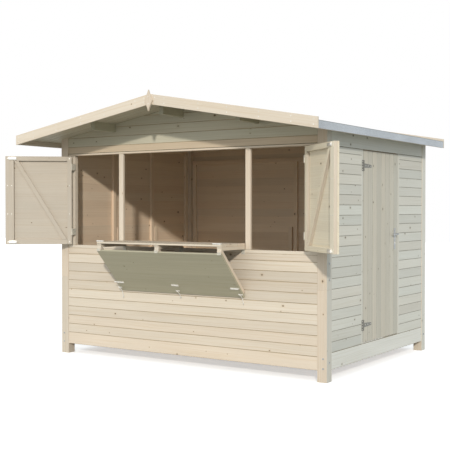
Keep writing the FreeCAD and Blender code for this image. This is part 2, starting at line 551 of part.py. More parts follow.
def door():
    """Boarded side door with its ledges, braces, hinges and lever handle."""
    front = "(%s + leaf_gap)" % DOOR_FRONT
    width = "(door_width - 2 * leaf_gap)"
    outer = "(%s - recess)" % RIGHT
    inner = "(%s - board)" % outer
    base = "(door_base + leaf_gap)"
    height = "(head_height - door_base - 2 * leaf_gap)"
    leaf = box("door_leaf", inner, front, base, "board", width, height)
    name_piece(leaf, "door_leaf")
    lows = ("(%s - ledge_width / 2)" % HINGE_LOW, "((%s + %s - ledge_width) / 2)" % (HINGE_LOW, HINGE_HIGH),
            "(%s - ledge_width / 2)" % HINGE_HIGH)
    ledge_start = "(%s + ledge_inset)" % front
    ledge_length = "(%s - 2 * ledge_inset)" % width
    ledges = [box("door_ledge", "(%s - board)" % inner, ledge_start, z, "board", ledge_length, "ledge_width")
              for z in lows]
    name_piece(gather("ledges", ledges), "door_ledges")
    braces = []
    for below, above in zip(lows, lows[1:]):
        foot = "(%s + ledge_width)" % below
        end = "(%s + %s)" % (ledge_start, ledge_length)
        slant = "(ledge_width * 1.4)"
        outline = [(ledge_start, foot), ("(%s + %s)" % (ledge_start, slant), foot), (end, above),
                   ("(%s - %s)" % (end, slant), above)]
        braces.append(prism("door_brace", "YZ_Plane", outline, "board", "(%s - board)" % inner))
    name_piece(gather("braces", braces), "door_braces")
    fixed = []
    moving = []
    for z in (HINGE_LOW, HINGE_HIGH):
        low = "(%s - hinge_length / 2)" % z
        strap_low = "(%s - strap_root / 2)" % z
        strap_high = "(%s + strap_root / 2)" % z
        plate = box("hinge_plate", outer, "(%s - hinge_plate_width)" % HINGE_Y, low, "hinge_steel",
                    "hinge_plate_width - knuckle / 2 - pin_clearance", "hinge_length")
        ends = []
        for start, stop in ((low, strap_low), (strap_high, "(%s + hinge_length)" % low)):
            end = doc.addObject("Part::Cylinder", "hinge_fixed_knuckle")
            bind(end, Radius="knuckle / 2", Placement__Base__x=HINGE_X, Placement__Base__y=HINGE_Y,
                 Placement__Base__z=start, Height="%s - %s" % (stop, start))
            root = box("hinge_root", outer, "(%s - knuckle / 2 - 2 * pin_clearance)" % HINGE_Y, start,
                       "hinge_steel", "knuckle / 2 + pin_clearance", "%s - %s" % (stop, start))
            ends += [end, root]
        rod = doc.addObject("Part::Cylinder", "hinge_pin")
        bind(rod, Radius="pin / 2", Placement__Base__x=HINGE_X, Placement__Base__y=HINGE_Y,
             Placement__Base__z=low, Height="hinge_length")
        fixed.append(fuse("hinge_fixed", [plate, rod] + ends))
        barrel = doc.addObject("Part::Cylinder", "hinge_moving_knuckle")
        bind(barrel, Radius="knuckle / 2", Placement__Base__x=HINGE_X, Placement__Base__y=HINGE_Y,
             Placement__Base__z="%s + pin_clearance" % strap_low, Height="strap_root - 2 * pin_clearance")
        bore = doc.addObject("Part::Cylinder", "hinge_bore")
        bind(bore, Radius="pin / 2 + pin_clearance", Placement__Base__x=HINGE_X, Placement__Base__y=HINGE_Y,
             Placement__Base__z=low, Height="hinge_length")
        root = "(%s + knuckle / 4)" % HINGE_Y
        tip = "(%s + strap_length)" % HINGE_Y
        outline = [(root, "%s + pin_clearance" % strap_low), (tip, "%s - strap_tip / 2" % z),
                   (tip, "%s + strap_tip / 2" % z), (root, "%s - pin_clearance" % strap_high)]
        strap = prism("hinge_strap", "YZ_Plane", outline, "hinge_steel", outer)
        solid = fuse("hinge_moving_solid", [barrel, strap])
        drilled = doc.addObject("Part::Cut", "hinge_moving")
        drilled.Base = solid
        drilled.Tool = bore
        moving.append(drilled)
    name_piece(gather("hinge_fixed_pair", fixed), "fixed_hinge_plates")
    name_piece(gather("hinge_moving_pair", moving), "door_hinge_straps")
    middle = "(%s - leaf_gap - handle_inset)" % DOOR_BACK
    plate = box("handle_plate", outer, "(%s - handle_plate_width / 2)" % middle,
                "(handle_height + handle_plate_rise - handle_plate_length)", "handle_plate_thick",
                "handle_plate_width", "handle_plate_length")
    neck = doc.addObject("Part::Cylinder", "handle_neck")
    neck.Placement.Rotation = FreeCAD.Rotation(Vector(0, 1, 0), 90)
    bind(neck, Radius="neck_thick / 2", Height="handle_plate_thick + lever_reach",
         Placement__Base__x=outer, Placement__Base__y=middle, Placement__Base__z="handle_height")
    lever = doc.addObject("Part::Cylinder", "handle_lever")
    lever.Placement.Rotation = FreeCAD.Rotation(Vector(1, 0, 0), 90)
    bind(lever, Radius="lever_thick / 2", Height="lever_length",
         Placement__Base__x="%s + handle_plate_thick + lever_reach - lever_thick" % outer,
         Placement__Base__y=middle, Placement__Base__z="handle_height")
    name_piece(fuse("handle", [plate, neck, lever]), "door_handle")


corner_posts()
front_wall()
gables()
rails()
left_wall()
right_wall()
roof()
shutters()
shutter_hardware()
counter()
door()

doc.recompute()
for thing in doc.Objects:
    if "Invalid" in thing.State or "Error" in thing.State:
        raise RuntimeError("%s did not compute: %s" % (thing.Label, thing.State))
os.makedirs("parts", exist_ok=True)
for piece in PIECES:
    if piece.Shape.isNull() or not piece.Shape.isValid() or not piece.Shape.Solids:
        raise RuntimeError("%s has no valid solid" % piece.Label)
    piece.Shape.exportStep("parts/%s.step" % piece.Label)
print("%d pieces" % len(PIECES))
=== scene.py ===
"""Looks of a folding wooden market kiosk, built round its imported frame. Metres, +Z up, front towards -Y."""
import json
import math
import random

import bmesh
import bpy
from mathutils import Matrix, Vector

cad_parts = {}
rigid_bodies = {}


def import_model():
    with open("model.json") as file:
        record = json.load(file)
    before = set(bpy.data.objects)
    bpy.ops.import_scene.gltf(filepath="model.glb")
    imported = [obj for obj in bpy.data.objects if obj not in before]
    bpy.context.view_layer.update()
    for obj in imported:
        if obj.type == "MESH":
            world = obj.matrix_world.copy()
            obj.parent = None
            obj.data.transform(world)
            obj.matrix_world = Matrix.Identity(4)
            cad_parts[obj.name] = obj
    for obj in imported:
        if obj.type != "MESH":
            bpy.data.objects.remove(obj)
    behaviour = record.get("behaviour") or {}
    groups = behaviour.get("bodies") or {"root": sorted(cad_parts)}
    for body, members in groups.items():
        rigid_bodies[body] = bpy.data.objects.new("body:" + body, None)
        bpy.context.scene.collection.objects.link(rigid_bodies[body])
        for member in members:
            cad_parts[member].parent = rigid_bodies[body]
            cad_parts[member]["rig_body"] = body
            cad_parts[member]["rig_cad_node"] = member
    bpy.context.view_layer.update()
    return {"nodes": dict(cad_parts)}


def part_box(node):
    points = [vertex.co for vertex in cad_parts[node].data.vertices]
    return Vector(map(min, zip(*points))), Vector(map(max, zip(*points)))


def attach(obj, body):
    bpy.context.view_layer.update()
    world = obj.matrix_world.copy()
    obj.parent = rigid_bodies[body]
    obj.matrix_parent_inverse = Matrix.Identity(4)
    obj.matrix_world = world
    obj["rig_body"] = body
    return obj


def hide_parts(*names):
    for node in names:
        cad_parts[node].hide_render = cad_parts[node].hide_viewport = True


bl_info = {
    "name": "Folding wooden kiosk",
    "version": (1, 0, 0),
    "blender": (4, 5, 0),
    "location": "View3D > Sidebar > Kiosk",
    "description": "Boards, frame timbers, roof covering and ironmongery of a folding market kiosk",
    "category": "Add Mesh",
}

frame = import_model()
BODY, DOOR = "kiosk", "side_door"
X, Y, Z = Vector((1, 0, 0)), Vector((0, 1, 0)), Vector((0, 0, 1))

# Timber sizes that the frame's solids have too
BOARD = 0.018
BATTEN_WIDE, BATTEN_DEEP = 0.045, 0.028
LAP_BATTEN = 0.082
PROP_FALL = 0.390
HINGE_HEIGHTS = (0.408, 1.835)

# Heights of the lowest joints between boards, and the gap that keeps two timbers apart
FIRST_JOINT = 0.2125
PANEL_JOINT = 0.332
GABLE_JOINT = 2.064
HAIR = 0.0005

# A face looks in a direction when its normal has at least this share of it
FACING = 0.9


# Sizes and colours that a user would change

def length(label, note, default):
    """A size in metres for the sidebar."""
    return bpy.props.FloatProperty(name=label, description=note, default=default, min=0.0, unit="LENGTH",
                                   precision=4)


def colour(label, note, default):
    """A colour as an sRGB hex value."""
    return bpy.props.StringProperty(name=label, description=note, default=default)


class KioskSizes(bpy.types.PropertyGroup):
    """Sizes of the joinery and the ironmongery."""
    wall_pitch: length("Wall board", "Cover width of a lying wall board", 0.0885)
    door_pitch: length("Door board", "Cover width of a standing door board", 0.0965)
    counter_pitch: length("Counter board", "Cover width of a counter board", 0.0863)
    groove: length("Groove", "Chamfer on the long edges of a tongued board", 0.0030)
    eased: length("Eased edge", "Planed edge of posts and battens", 0.002)
    screw_head: length("Screw head", "Radius of a countersunk screw head", 0.0046)
    bolt_head: length("Bolt head", "Radius of a coach bolt's dome", 0.0105)
    lap_step: length("Felt lap", "Thickness that a lap of the roofing felt adds", 0.0016)
    shutter_hinge: length("Shutter hinge", "Hinge line of a shutter from the middle", 1.345)
    shutter_foot: length("Shutter foot", "Height of a shutter's lower edge", 1.099)
    shutter_width: length("Shutter width", "Width of a shutter", 0.645)
    shutter_height: length("Shutter height", "Height of a shutter", 0.870)
    shutter_turn: bpy.props.FloatProperty(name="Shutter turn", description="How far the shutters stand open",
                                          default=math.radians(139), subtype="ANGLE")


class KioskColours(bpy.types.PropertyGroup):
    """Colours of the finishes, as sRGB hex values."""
    spruce: colour("Spruce", "Sapwood of freshly planed spruce", "DCD1C1")
    spruce_late: colour("Late wood", "Darker growth lines of the spruce", "CBB594")
    # Side spruce: its greyer, cooler tone is painted cool shade of the sky-lit side of the kiosk.
    side: colour("Side spruce", "Spruce of the side wall, a little greyed", "D8D8D0")
    side_late: colour("Side late wood", "Growth lines of the greyed spruce", "C6C3B4")
    # Door spruce: carries the side's painted cool shade; its darker, pinker tone is the door's own.
    door: colour("Door spruce", "Boards of the side door, greyed and a little riper", "CECBBF")
    door_late: colour("Door late wood", "Growth lines of the door's boards", "BDB7A4")
    pale: colour("Pale spruce", "The palest boards, those of the base", "E8E7E0")
    pale_late: colour("Pale late wood", "Growth lines of the palest boards", "D2CCBC")
    # Dull spruce: the left shutter's duller tone is painted shade, a shaded copy of the shutters' spruce.
    dull: colour("Dull spruce", "Boards of the left shutter, a little duller", "C6BCAE")
    dull_late: colour("Dull late wood", "Growth lines of the duller boards", "B8A88F")
    # Gable spruce: its duller, greener tone is painted shade on the wood under the roof.
    shade: colour("Gable spruce", "Boards and beams under the roof", "C9C3AF")
    shade_late: colour("Gable late wood", "Growth lines under the roof", "B5A98C")
    # Low gable spruce: the lowest gable board's warmer, paler tone is painted light where the sun reaches
    # under the roof.
    gable: colour("Low gable spruce", "Riper lowest board of the gable", "D2C2AA")
    gable_late: colour("Low gable late wood", "Growth lines of the gable's lowest board", "B9A488")
    # Light spruce: painted highlight on the face of the right shutter's lap batten.
    light: colour("Light spruce", "Palest face of the right shutter's frame", "F4EDDA")
    light_late: colour("Light late wood", "Growth lines of that face", "E3D6BC")
    # Olive spruce: its darker, greener tone is painted shade on the prop, which looks down, and on the roof
    # beams under the roof.
    olive: colour("Olive spruce", "Boards of the prop, a little green", "B5B19B")
    olive_late: colour("Olive late wood", "Growth lines of the prop's boards", "A29A80")
    # Sheltered spruce: warmer and paler, partly wood kept out of the weather and partly painted light on the
    # shaded interior.
    warm: colour("Sheltered spruce", "Spruce out of the weather, a little riper", "EBD8C0")
    warm_late: colour("Sheltered late wood", "Growth lines of the riper spruce", "D9BF9F")
    # Cream spruce: the right shutter's yellower, paler tone is painted light, a lit copy of the shutters'
    # spruce.
    cream: colour("Cream spruce", "Yellower spruce of the right shutter", "E6DCC6")
    cream_late: colour("Cream late wood", "Growth lines of the yellower spruce", "D3C2A2")
    knot: colour("Knot", "Heart of a dead knot", "43301F")
    joint: colour("Board joint", "Dusty bottom of the groove between two boards", "80745E")
    faint: colour("Faint joint", "Tight joint between two boards", "A6957B")
    # Grey joint: greyer to go with the side's painted cool shade.
    grey_joint: colour("Grey joint", "Tight joint between two greyed boards", "99958A")
    # Keyhole: a dark colour painted as the shade inside the lock.
    keyhole: colour("Keyhole", "Dark inside of the lock", "1A1917")
    zinc: colour("Zinc", "Bright zinc plating", "E9E7E1")
    dull_zinc: colour("Dull zinc", "Hot dipped zinc, a little dulled", "B4B6B7")
    aged_zinc: colour("Aged zinc", "Zinc that has gone dark", "8F8E88")
    mealy_zinc: colour("Mealy zinc", "Pale matt zinc of the shutter and counter hinges", "D6D0C2")
    felt: colour("Roofing felt", "Slate grey mineral felt", "8F9597")
    trim: colour("Eave trim", "Pale blue-grey trim on the eaves", "C0C5CC")
    floor: colour("Floor", "Pale studio floor", "9A9A94")


# Materials

def linear(code, share=1.0):
    """An sRGB hex value as a linear colour, or a darker or paler share of it."""
    parts = [int(code[i:i + 2], 16) / 255 for i in (0, 2, 4)]
    parts = [c / 12.92 if c <= 0.04045 else ((c + 0.055) / 1.055) ** 2.4 for c in parts]
    return tuple(min(1.0, c * share) for c in parts) + (1.0,)


def node(tree, kind, settings=None, **links):
    """Add a node with its settings and links.

    The settings are its properties, the word for its operation, or the stops of its colour ramp. Each link
    names an input, or gives its number after an i, and takes a value, an output, or a node for its first one.
    """
    made = tree.nodes.new("ShaderNode" + kind)
    if isinstance(settings, str):
        settings = {"operation": settings}
    for name, value in (settings or {}).items():
        if name != "stops":
            setattr(made, name, value)
            continue
        band = made.color_ramp.elements
        while len(band) < len(value):
            band.new(0.5)
        for element, (place, shade) in zip(band, value):
            element.position = place
            element.color = shade
    for name, value in links.items():
        socket = made.inputs[int(name[1:])] if name[0] == "i" and name[1:].isdigit() else made.inputs[name]
        if isinstance(value, bpy.types.Node):
            value = value.outputs[0]
        if isinstance(value, bpy.types.NodeSocket):
            tree.links.new(value, socket)
        else:
            socket.default_value = value
    return made


def new_material(name):
    """A material with its shader."""
    made = bpy.data.materials.new(name)
    made.use_nodes = True
    shader = made.node_tree.nodes["Principled BSDF"]
    return made, made.node_tree, shader


def spruce(name, sap, late, knot, knots, spread):
    """Planed spruce: pale sapwood, fine growth lines along the board and scattered dead knots.

    The eye sees a matt cream face, lines a few millimetres apart and dark specks about 10 mm across. Knots is
    the share of the knot cells that hold one, and spread is how far the boards differ in tone.
    """
    made, tree, shader = new_material(name)
    cell = (0.30, 0.078, 1.0)
    lines_per_metre = 150.0
    fibres_per_metre = 620.0
    grain = node(tree, "UVMap", {"uv_map": "grain"})
    tone = node(tree, "Attribute", {"attribute_name": "tone"}).outputs["Fac"]

    # Knots: at most one in each 300 x 78 mm cell, 2.6 to 8.8 mm in radius and longer along the board
    grid = node(tree, "VectorMath", "DIVIDE", i0=grain, i1=cell)
    spots = node(tree, "TexVoronoi", {"voronoi_dimensions": "2D"}, Vector=grid, Scale=1.0)
    away = node(tree, "VectorMath", "SUBTRACT", i0=grid, i1=spots.outputs["Position"])
    away = node(tree, "VectorMath", "MULTIPLY", i0=away, i1=(cell[0] * 0.72, cell[1], 0))
    distance = node(tree, "VectorMath", "LENGTH", i0=away).outputs["Value"]
    chance = node(tree, "SeparateColor", None, Color=spots.outputs["Color"]).outputs
    present = node(tree, "Math", "LESS_THAN", i0=chance[0], i1=knots)
    grown = node(tree, "Math", "POWER", i0=chance[1], i1=2.2)
    radius = node(tree, "Math", "MULTIPLY_ADD", i0=grown, i1=0.0062, i2=0.0026)
    reach = node(tree, "Math", "DIVIDE", i0=distance, i1=radius)
    soft = {"interpolation_type": "SMOOTHSTEP"}
    core = node(tree, "MapRange", soft, Value=reach,
                **{"From Min": 0.75, "From Max": 1.25, "To Min": 1.0, "To Max": 0.0})
    core = node(tree, "Math", "MULTIPLY", i0=core, i1=present)
    halo = node(tree, "MapRange", soft, Value=reach,
                **{"From Min": 1.0, "From Max": 3.6, "To Min": 1.0, "To Max": 0.0})
    halo = node(tree, "Math", "MULTIPLY", i0=halo, i1=present)

    # Growth lines wander slowly and bend round the knots. They are drawn about 7 mm apart and the fibres
    # 1.6 mm, several times as coarse as real ones, because finer ones don't show.
    flat = {"noise_dimensions": "2D"}
    slow = node(tree, "VectorMath", "MULTIPLY", i0=grain, i1=(1.6, 9.0, 0))
    wander = node(tree, "TexNoise", flat, Vector=slow, Scale=1.0, Detail=2.0)
    bend = node(tree, "Math", "MULTIPLY", i0=halo, i1=0.010)
    shift = node(tree, "Math", "MULTIPLY_ADD", i0=wander, i1=0.030, i2=bend)
    bent = node(tree, "VectorMath", "ADD", i0=grain, i1=node(tree, "CombineXYZ", None, Y=shift))
    bent = node(tree, "VectorMath", "MULTIPLY", i0=bent, i1=(0.9, lines_per_metre, 0))
    growth = node(tree, "TexNoise", flat, Vector=bent, Scale=1.0, Detail=3.0, Roughness=0.55)
    thin = node(tree, "VectorMath", "MULTIPLY", i0=grain, i1=(14.0, fibres_per_metre, 0))
    fibre = node(tree, "TexNoise", flat, Vector=thin, Scale=1.0, Detail=2.0)
    broad = node(tree, "VectorMath", "MULTIPLY", i0=grain, i1=(1.1, 7.0, 0))
    cloud = node(tree, "TexNoise", flat, Vector=broad, Scale=1.0, Detail=2.0)
    dark = node(tree, "MapRange", None, Value=growth,
                **{"From Min": 0.46, "From Max": 0.72, "To Min": 0.0, "To Max": 0.42})
    rim = node(tree, "Math", "MULTIPLY", i0=halo, i1=0.55)
    dark = node(tree, "Math", "MAXIMUM", i0=dark, i1=rim)
    blend = {"data_type": "RGBA"}
    base = node(tree, "Mix", blend, Factor=dark, i6=linear(sap), i7=linear(late)).outputs[2]

    # Each board has its own tone, and a share of them is a little pinker
    light = node(tree, "Math", "MULTIPLY_ADD", i0=tone, i1=spread, i2=0.99 - spread / 2)
    patch = node(tree, "Math", "MULTIPLY_ADD", i0=cloud, i1=0.12, i2=-0.06)
    light = node(tree, "Math", "ADD", i0=light, i1=patch)
    speck = node(tree, "Math", "MULTIPLY_ADD", i0=fibre, i1=0.08, i2=-0.04)
    light = node(tree, "Math", "ADD", i0=light, i1=speck)
    hue = node(tree, "Math", "FRACT", i0=node(tree, "Math", "MULTIPLY", i0=tone, i1=7.3))
    hue = node(tree, "Math", "MULTIPLY", i0=hue, i1=min(1.0, spread / 0.15))
    pink = node(tree, "VectorMath", "MULTIPLY", i0=base, i1=(1.0, 0.955, 0.925))
    base = node(tree, "Mix", blend, Factor=hue, i6=base, i7=pink).outputs[2]
    toned = node(tree, "VectorMath", "SCALE", i0=base, Scale=light)
    depth = node(tree, "Math", "MULTIPLY_ADD", i0=chance[2], i1=0.5, i2=0.45)
    depth = node(tree, "Math", "MULTIPLY", i0=core, i1=depth)
    final = node(tree, "Mix", blend, Factor=depth, i6=toned, i7=linear(knot)).outputs[2]
    tree.links.new(final, shader.inputs["Base Color"])
    rough = node(tree, "Math", "MULTIPLY_ADD", i0=growth, i1=0.18, i2=0.50)
    tree.links.new(rough.outputs[0], shader.inputs["Roughness"])
    shader.inputs["Specular IOR Level"].default_value = 0.35
    ridges = node(tree, "Math", "MULTIPLY", i0=growth, i1=0.6)
    fuzz = node(tree, "Math", "MULTIPLY_ADD", i0=fibre, i1=0.4, i2=core)
    height = node(tree, "Math", "ADD", i0=ridges, i1=fuzz)
    bump = node(tree, "Bump", None, Strength=0.35, Distance=0.0006, Height=height)
    tree.links.new(bump.outputs[0], shader.inputs["Normal"])
    return made


def groove_shade(name, tint):
    """Bottom of a V groove: the same spruce, with dust and shade that make each joint a thin brown line."""
    made, tree, shader = new_material(name)
    grain = node(tree, "UVMap", {"uv_map": "grain"})
    stretched = node(tree, "VectorMath", "MULTIPLY", i0=grain, i1=(6.0, 90.0, 0))
    dust = node(tree, "TexNoise", {"noise_dimensions": "2D"}, Vector=stretched, Scale=1.0, Detail=3.0)
    stops = ((0.36, linear(tint)), (0.72, linear(tint, 1.4)))
    shade = node(tree, "ValToRGB", {"stops": stops}, Fac=dust)
    tree.links.new(shade.outputs["Color"], shader.inputs["Base Color"])
    shader.inputs["Roughness"].default_value = 0.85
    return made


def mineral_felt(name, tint, grit):
    """Mineral roofing felt: slate granules of the grit's size in bitumen, matt, with soft patches of fade."""
    made, tree, shader = new_material(name)
    place = node(tree, "TexCoord").outputs["Object"]
    grains = node(tree, "TexVoronoi", None, Vector=place, Scale=1 / grit)
    fade = node(tree, "TexNoise", None, Vector=place, Scale=1.8, Detail=5.0)
    speck = node(tree, "SeparateColor", None, Color=grains.outputs["Color"])
    soft = node(tree, "Math", "MULTIPLY_ADD", i0=fade, i1=0.35, i2=0.32)
    mixed = node(tree, "Math", "MULTIPLY_ADD", i0=speck, i1=0.45, i2=soft)
    stops = ((0.40, linear(tint, 0.65)), (0.72, linear(tint)), (1.0, linear(tint, 1.45)))
    shade = node(tree, "ValToRGB", {"stops": stops}, Fac=mixed)
    tree.links.new(shade.outputs["Color"], shader.inputs["Base Color"])
    shader.inputs["Roughness"].default_value = 0.93
    bump = node(tree, "Bump", None, Strength=0.6, Distance=0.0008, Height=grains.outputs["Distance"])
    tree.links.new(bump.outputs[0], shader.inputs["Normal"])
    return made


def plated_steel(name, tint, rough, metallic):
    """Zinc plated pressed steel: grey with faint crystals about 12 mm across and rubbed, duller patches."""
    made, tree, shader = new_material(name)
    spangle = 0.012
    rubbed = 60.0
    place = node(tree, "TexCoord").outputs["Object"]
    crystal = node(tree, "TexVoronoi", None, Vector=place, Scale=1 / spangle)
    speck = node(tree, "SeparateColor", None, Color=crystal.outputs["Color"])
    smear = node(tree, "TexNoise", None, Vector=place, Scale=rubbed, Detail=4.0)
    mixed = node(tree, "Math", "MULTIPLY_ADD", i0=speck, i1=0.35, i2=smear)
    stops = ((0.4, linear(tint, 0.72)), (0.85, linear(tint)))
    shade = node(tree, "ValToRGB", {"stops": stops}, Fac=mixed)
    tree.links.new(shade.outputs["Color"], shader.inputs["Base Color"])
    shader.inputs["Metallic"].default_value = metallic
    dull = node(tree, "Math", "MULTIPLY_ADD", i0=smear, i1=0.25, i2=rough - 0.1)
    tree.links.new(dull.outputs[0], shader.inputs["Roughness"])
    bump = node(tree, "Bump", None, Strength=0.15, Distance=0.0003, Height=smear)
    tree.links.new(bump.outputs[0], shader.inputs["Normal"])
    return made


def studio_floor(name, tint):
    """Matt pale floor that the camera sees almost white, with the kiosk's shadow kept."""
    made, tree, shader = new_material(name)
    place = node(tree, "TexCoord").outputs["Object"]
    faint = node(tree, "TexNoise", None, Vector=place, Scale=0.7, Detail=3.0)
    stops = ((0.3, linear(tint, 0.97)), (0.7, linear(tint)))
    shade = node(tree, "ValToRGB", {"stops": stops}, Fac=faint)
    tree.links.new(shade.outputs["Color"], shader.inputs["Base Color"])
    shader.inputs["Roughness"].default_value = 0.95
    shader.inputs["Specular IOR Level"].default_value = 0.1
    pale = node(tree, "BsdfDiffuse", None, Color=(0.9, 0.9, 0.9, 1))
    glow = node(tree, "Emission", None, Color=(1, 1, 1, 1), Strength=0.5)
    bright = node(tree, "AddShader", None, i0=pale, i1=glow)
    seen = node(tree, "LightPath").outputs
    either = node(tree, "Math", "MAXIMUM", i0=seen["Is Camera Ray"], i1=seen["Is Glossy Ray"])
    either = node(tree, "Math", "MAXIMUM", i0=either, i1=seen["Is Transmission Ray"])
    mixed = node(tree, "MixShader", None, Fac=either, i1=shader.outputs[0], i2=bright)
    tree.links.new(mixed.outputs[0], tree.nodes["Material Output"].inputs["Surface"])
    return made


# Each spruce: its colour, its share of knots, and how far its boards differ in tone. Planed wood is cream.
# Some are lit
# and shaded copies of one spruce: the side's greyer tone and the door's grey are painted cool shade, the
# gable and roof boards' dull tone and the prop's olive are painted shade, the left shutter's dull tone is
# painted shade, the right shutter's cream and the gable's lowest board are painted light, the light spruce is
# a painted highlight, and the sheltered indoor faces are partly riper wood and partly painted light.
SPRUCES = {
    "planed_spruce": ("spruce", 0.26, 0.15),
    "clear_spruce": ("spruce", 0.16, 0.15),
    "side_shade_spruce": ("side", 0.30, 0.15),
    "door_spruce": ("door", 0.45, 0.15),
    "pale_spruce": ("pale", 0.16, 0.15),
    "shutter_shade_spruce": ("dull", 0.20, 0.05),
    "shade_spruce": ("shade", 0.20, 0.07),
    "gable_lit_spruce": ("gable", 0.20, 0.15),
    "lap_highlight_spruce": ("light", 0.30, 0.15),
    "olive_shade_spruce": ("olive", 0.30, 0.08),
    "sheltered_lit_spruce": ("warm", 0.30, 0.15),
    "shutter_lit_spruce": ("cream", 0.24, 0.07),
}
# The joints are dusty, the felts matt and granular, and the zincs run from bright plating to a mealy grey
OTHER_FINISHES = {
    "board_joint": lambda tints: groove_shade("board_joint", tints.joint),
    "faint_joint": lambda tints: groove_shade("faint_joint", tints.faint),
    "grey_joint": lambda tints: groove_shade("grey_joint", tints.grey_joint),
    "keyhole": lambda tints: groove_shade("keyhole_shade", tints.keyhole),
    "mineral_felt": lambda tints: mineral_felt("mineral_felt", tints.felt, 0.0016),
    "eave_trim": lambda tints: mineral_felt("eave_trim_felt", tints.trim, 0.0012),
    "bright_zinc": lambda tints: plated_steel("bright_zinc", tints.zinc, 0.38, 0.85),
    "dull_zinc": lambda tints: plated_steel("dull_zinc", tints.dull_zinc, 0.5, 0.85),
    "aged_zinc": lambda tints: plated_steel("aged_zinc", tints.aged_zinc, 0.7, 0.45),
    "mealy_zinc": lambda tints: plated_steel("mealy_zinc", tints.mealy_zinc, 0.75, 0.2),
}
FINISHES = {}


def finish(name):
    """The finish of that name, made when it is first asked for."""
    tints = bpy.context.scene.kiosk_colours
    if name not in FINISHES and name in SPRUCES:
        tint, knots, spread = SPRUCES[name]
        FINISHES[name] = spruce(name, getattr(tints, tint), getattr(tints, tint + "_late"), tints.knot, knots,
                                spread)
    elif name not in FINISHES:
        FINISHES[name] = OTHER_FINISHES[name](tints)
    return FINISHES[name]


# Workshop: the steps that every piece is made with

def only(*things):
    """Select these and nothing else; the first is active."""
    bpy.ops.object.select_all(action="DESELECT")
    for thing in things:
        thing.select_set(True)
    bpy.context.view_layer.objects.active = things[0]
    return things[0]


def set_down(name):
    """Name the new primitive and put its place into its mesh."""
    piece = bpy.context.object
    piece.name = name
    bpy.ops.object.transform_apply(location=True, rotation=True, scale=True)
    return piece


def block(name, low, high):
    """A block of timber or steel between two corners."""
    low, high = Vector(low), Vector(high)
    bpy.ops.object.select_all(action="DESELECT")
    bpy.ops.mesh.primitive_cube_add(size=1, location=(low + high) / 2, scale=high - low)
    return set_down(name)


def turned(name, radius, start, end, sides=24):
    """A round bar from start to end."""
    start, end = Vector(start), Vector(end)
    bpy.ops.object.select_all(action="DESELECT")
    bpy.ops.mesh.primitive_cylinder_add(vertices=sides, radius=radius, depth=(end - start).length,
                                        location=(start + end) / 2,
                                        rotation=(end - start).to_track_quat("Z", "Y").to_euler())
    return set_down(name)


def ring(name, place, normal, radius, wire):
    """A bent wire eye."""
    bpy.ops.object.select_all(action="DESELECT")
    bpy.ops.mesh.primitive_torus_add(major_radius=radius, minor_radius=wire, major_segments=20,
                                     minor_segments=8, location=place,
                                     rotation=Vector(normal).to_track_quat("Z", "Y").to_euler())
    return set_down(name)


def copy_of(cad_node, name):
    """A working copy of a CAD piece, its loose triangles merged into flat faces."""
    piece = frame["nodes"][cad_node].copy()
    piece.data = piece.data.copy()
    piece.parent = None
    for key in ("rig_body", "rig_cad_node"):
        if key in piece:
            del piece[key]
    bpy.context.collection.objects.link(piece)
    piece.name = name
    only(piece)
    bpy.ops.mesh.customdata_custom_splitnormals_clear()
    bpy.ops.object.mode_set(mode="EDIT")
    bpy.ops.mesh.select_all(action="SELECT")
    bpy.ops.mesh.remove_doubles(threshold=0.00002)
    bpy.ops.mesh.dissolve_limited(angle_limit=math.radians(1))
    bpy.ops.mesh.normals_make_consistent(inside=False)
    bpy.ops.object.mode_set(mode="OBJECT")
    piece.data.materials.clear()
    return piece


def duplicate(piece):
    """A copy with its own mesh."""
    only(piece)
    bpy.ops.object.duplicate(linked=False)
    return bpy.context.object


def join(name, pieces):
    """Separate pieces as one object."""
    only(*pieces)
    if len(pieces) > 1:
        bpy.ops.object.join()
    joined = bpy.context.object
    joined.name = name
    return joined


def cut(piece, place, normal, keep_front):
    """Saw a piece through and keep one side, its cut face closed."""
    only(piece)
    bpy.ops.object.mode_set(mode="EDIT")
    bpy.ops.mesh.select_all(action="SELECT")
    bpy.ops.mesh.bisect(plane_co=place, plane_no=normal, use_fill=True, clear_inner=keep_front,
                        clear_outer=not keep_front)
    bpy.ops.object.mode_set(mode="OBJECT")


def saw(piece, normal, cuts):
    """Saw a slab into boards at these distances along the normal, and nail them up side by side.

    A cut that would leave a mere strip at an edge is left out.
    """
    strip = 0.006
    name = piece.name
    reach = [v.co.dot(normal) for v in piece.data.vertices]
    low, high = min(reach), max(reach)
    edges = [low] + sorted(c for c in cuts if low + strip < c < high - strip) + [high]
    sawn = []
    for start, end in zip(edges, edges[1:]):
        board = duplicate(piece)
        if start > low:
            cut(board, normal * start, normal, True)
        if end < high:
            cut(board, normal * end, normal, False)
        sawn.append(board)
    bpy.data.objects.remove(piece)
    return join(name, sawn)


def ease(piece, width, segments=1, angle=30, outward=None):
    """Plane off the sharp edges, or only those round the faces that look outward."""
    only(piece)
    bevel = piece.modifiers.new("eased edges", "BEVEL")
    bevel.width = width
    bevel.segments = segments
    bevel.limit_method = "ANGLE"
    bevel.angle_limit = math.radians(angle)
    if outward:
        sides = {}
        for face in piece.data.polygons:
            if face.normal.dot(outward) > FACING:
                for key in face.edge_keys:
                    sides[key] = sides.get(key, 0) + 1
        weights = piece.data.attributes.new("bevel_weight_edge", "FLOAT", "EDGE")
        weights.data.foreach_set("value", [float(sides.get(edge.key) == 1) for edge in piece.data.edges])
        bevel.limit_method = "WEIGHT"
    bpy.ops.object.modifier_apply(modifier=bevel.name)
    return piece


def islands(shape):
    """The loose parts of a mesh, as lists of faces, always in the same order."""
    reached = set()
    parts = []
    for first in shape.faces:
        if first in reached:
            continue
        reached.add(first)
        part = [first]
        for face in part:
            for edge in face.edges:
                for near in edge.link_faces:
                    if near not in reached:
                        reached.add(near)
                        part.append(near)
        parts.append(part)
    return parts


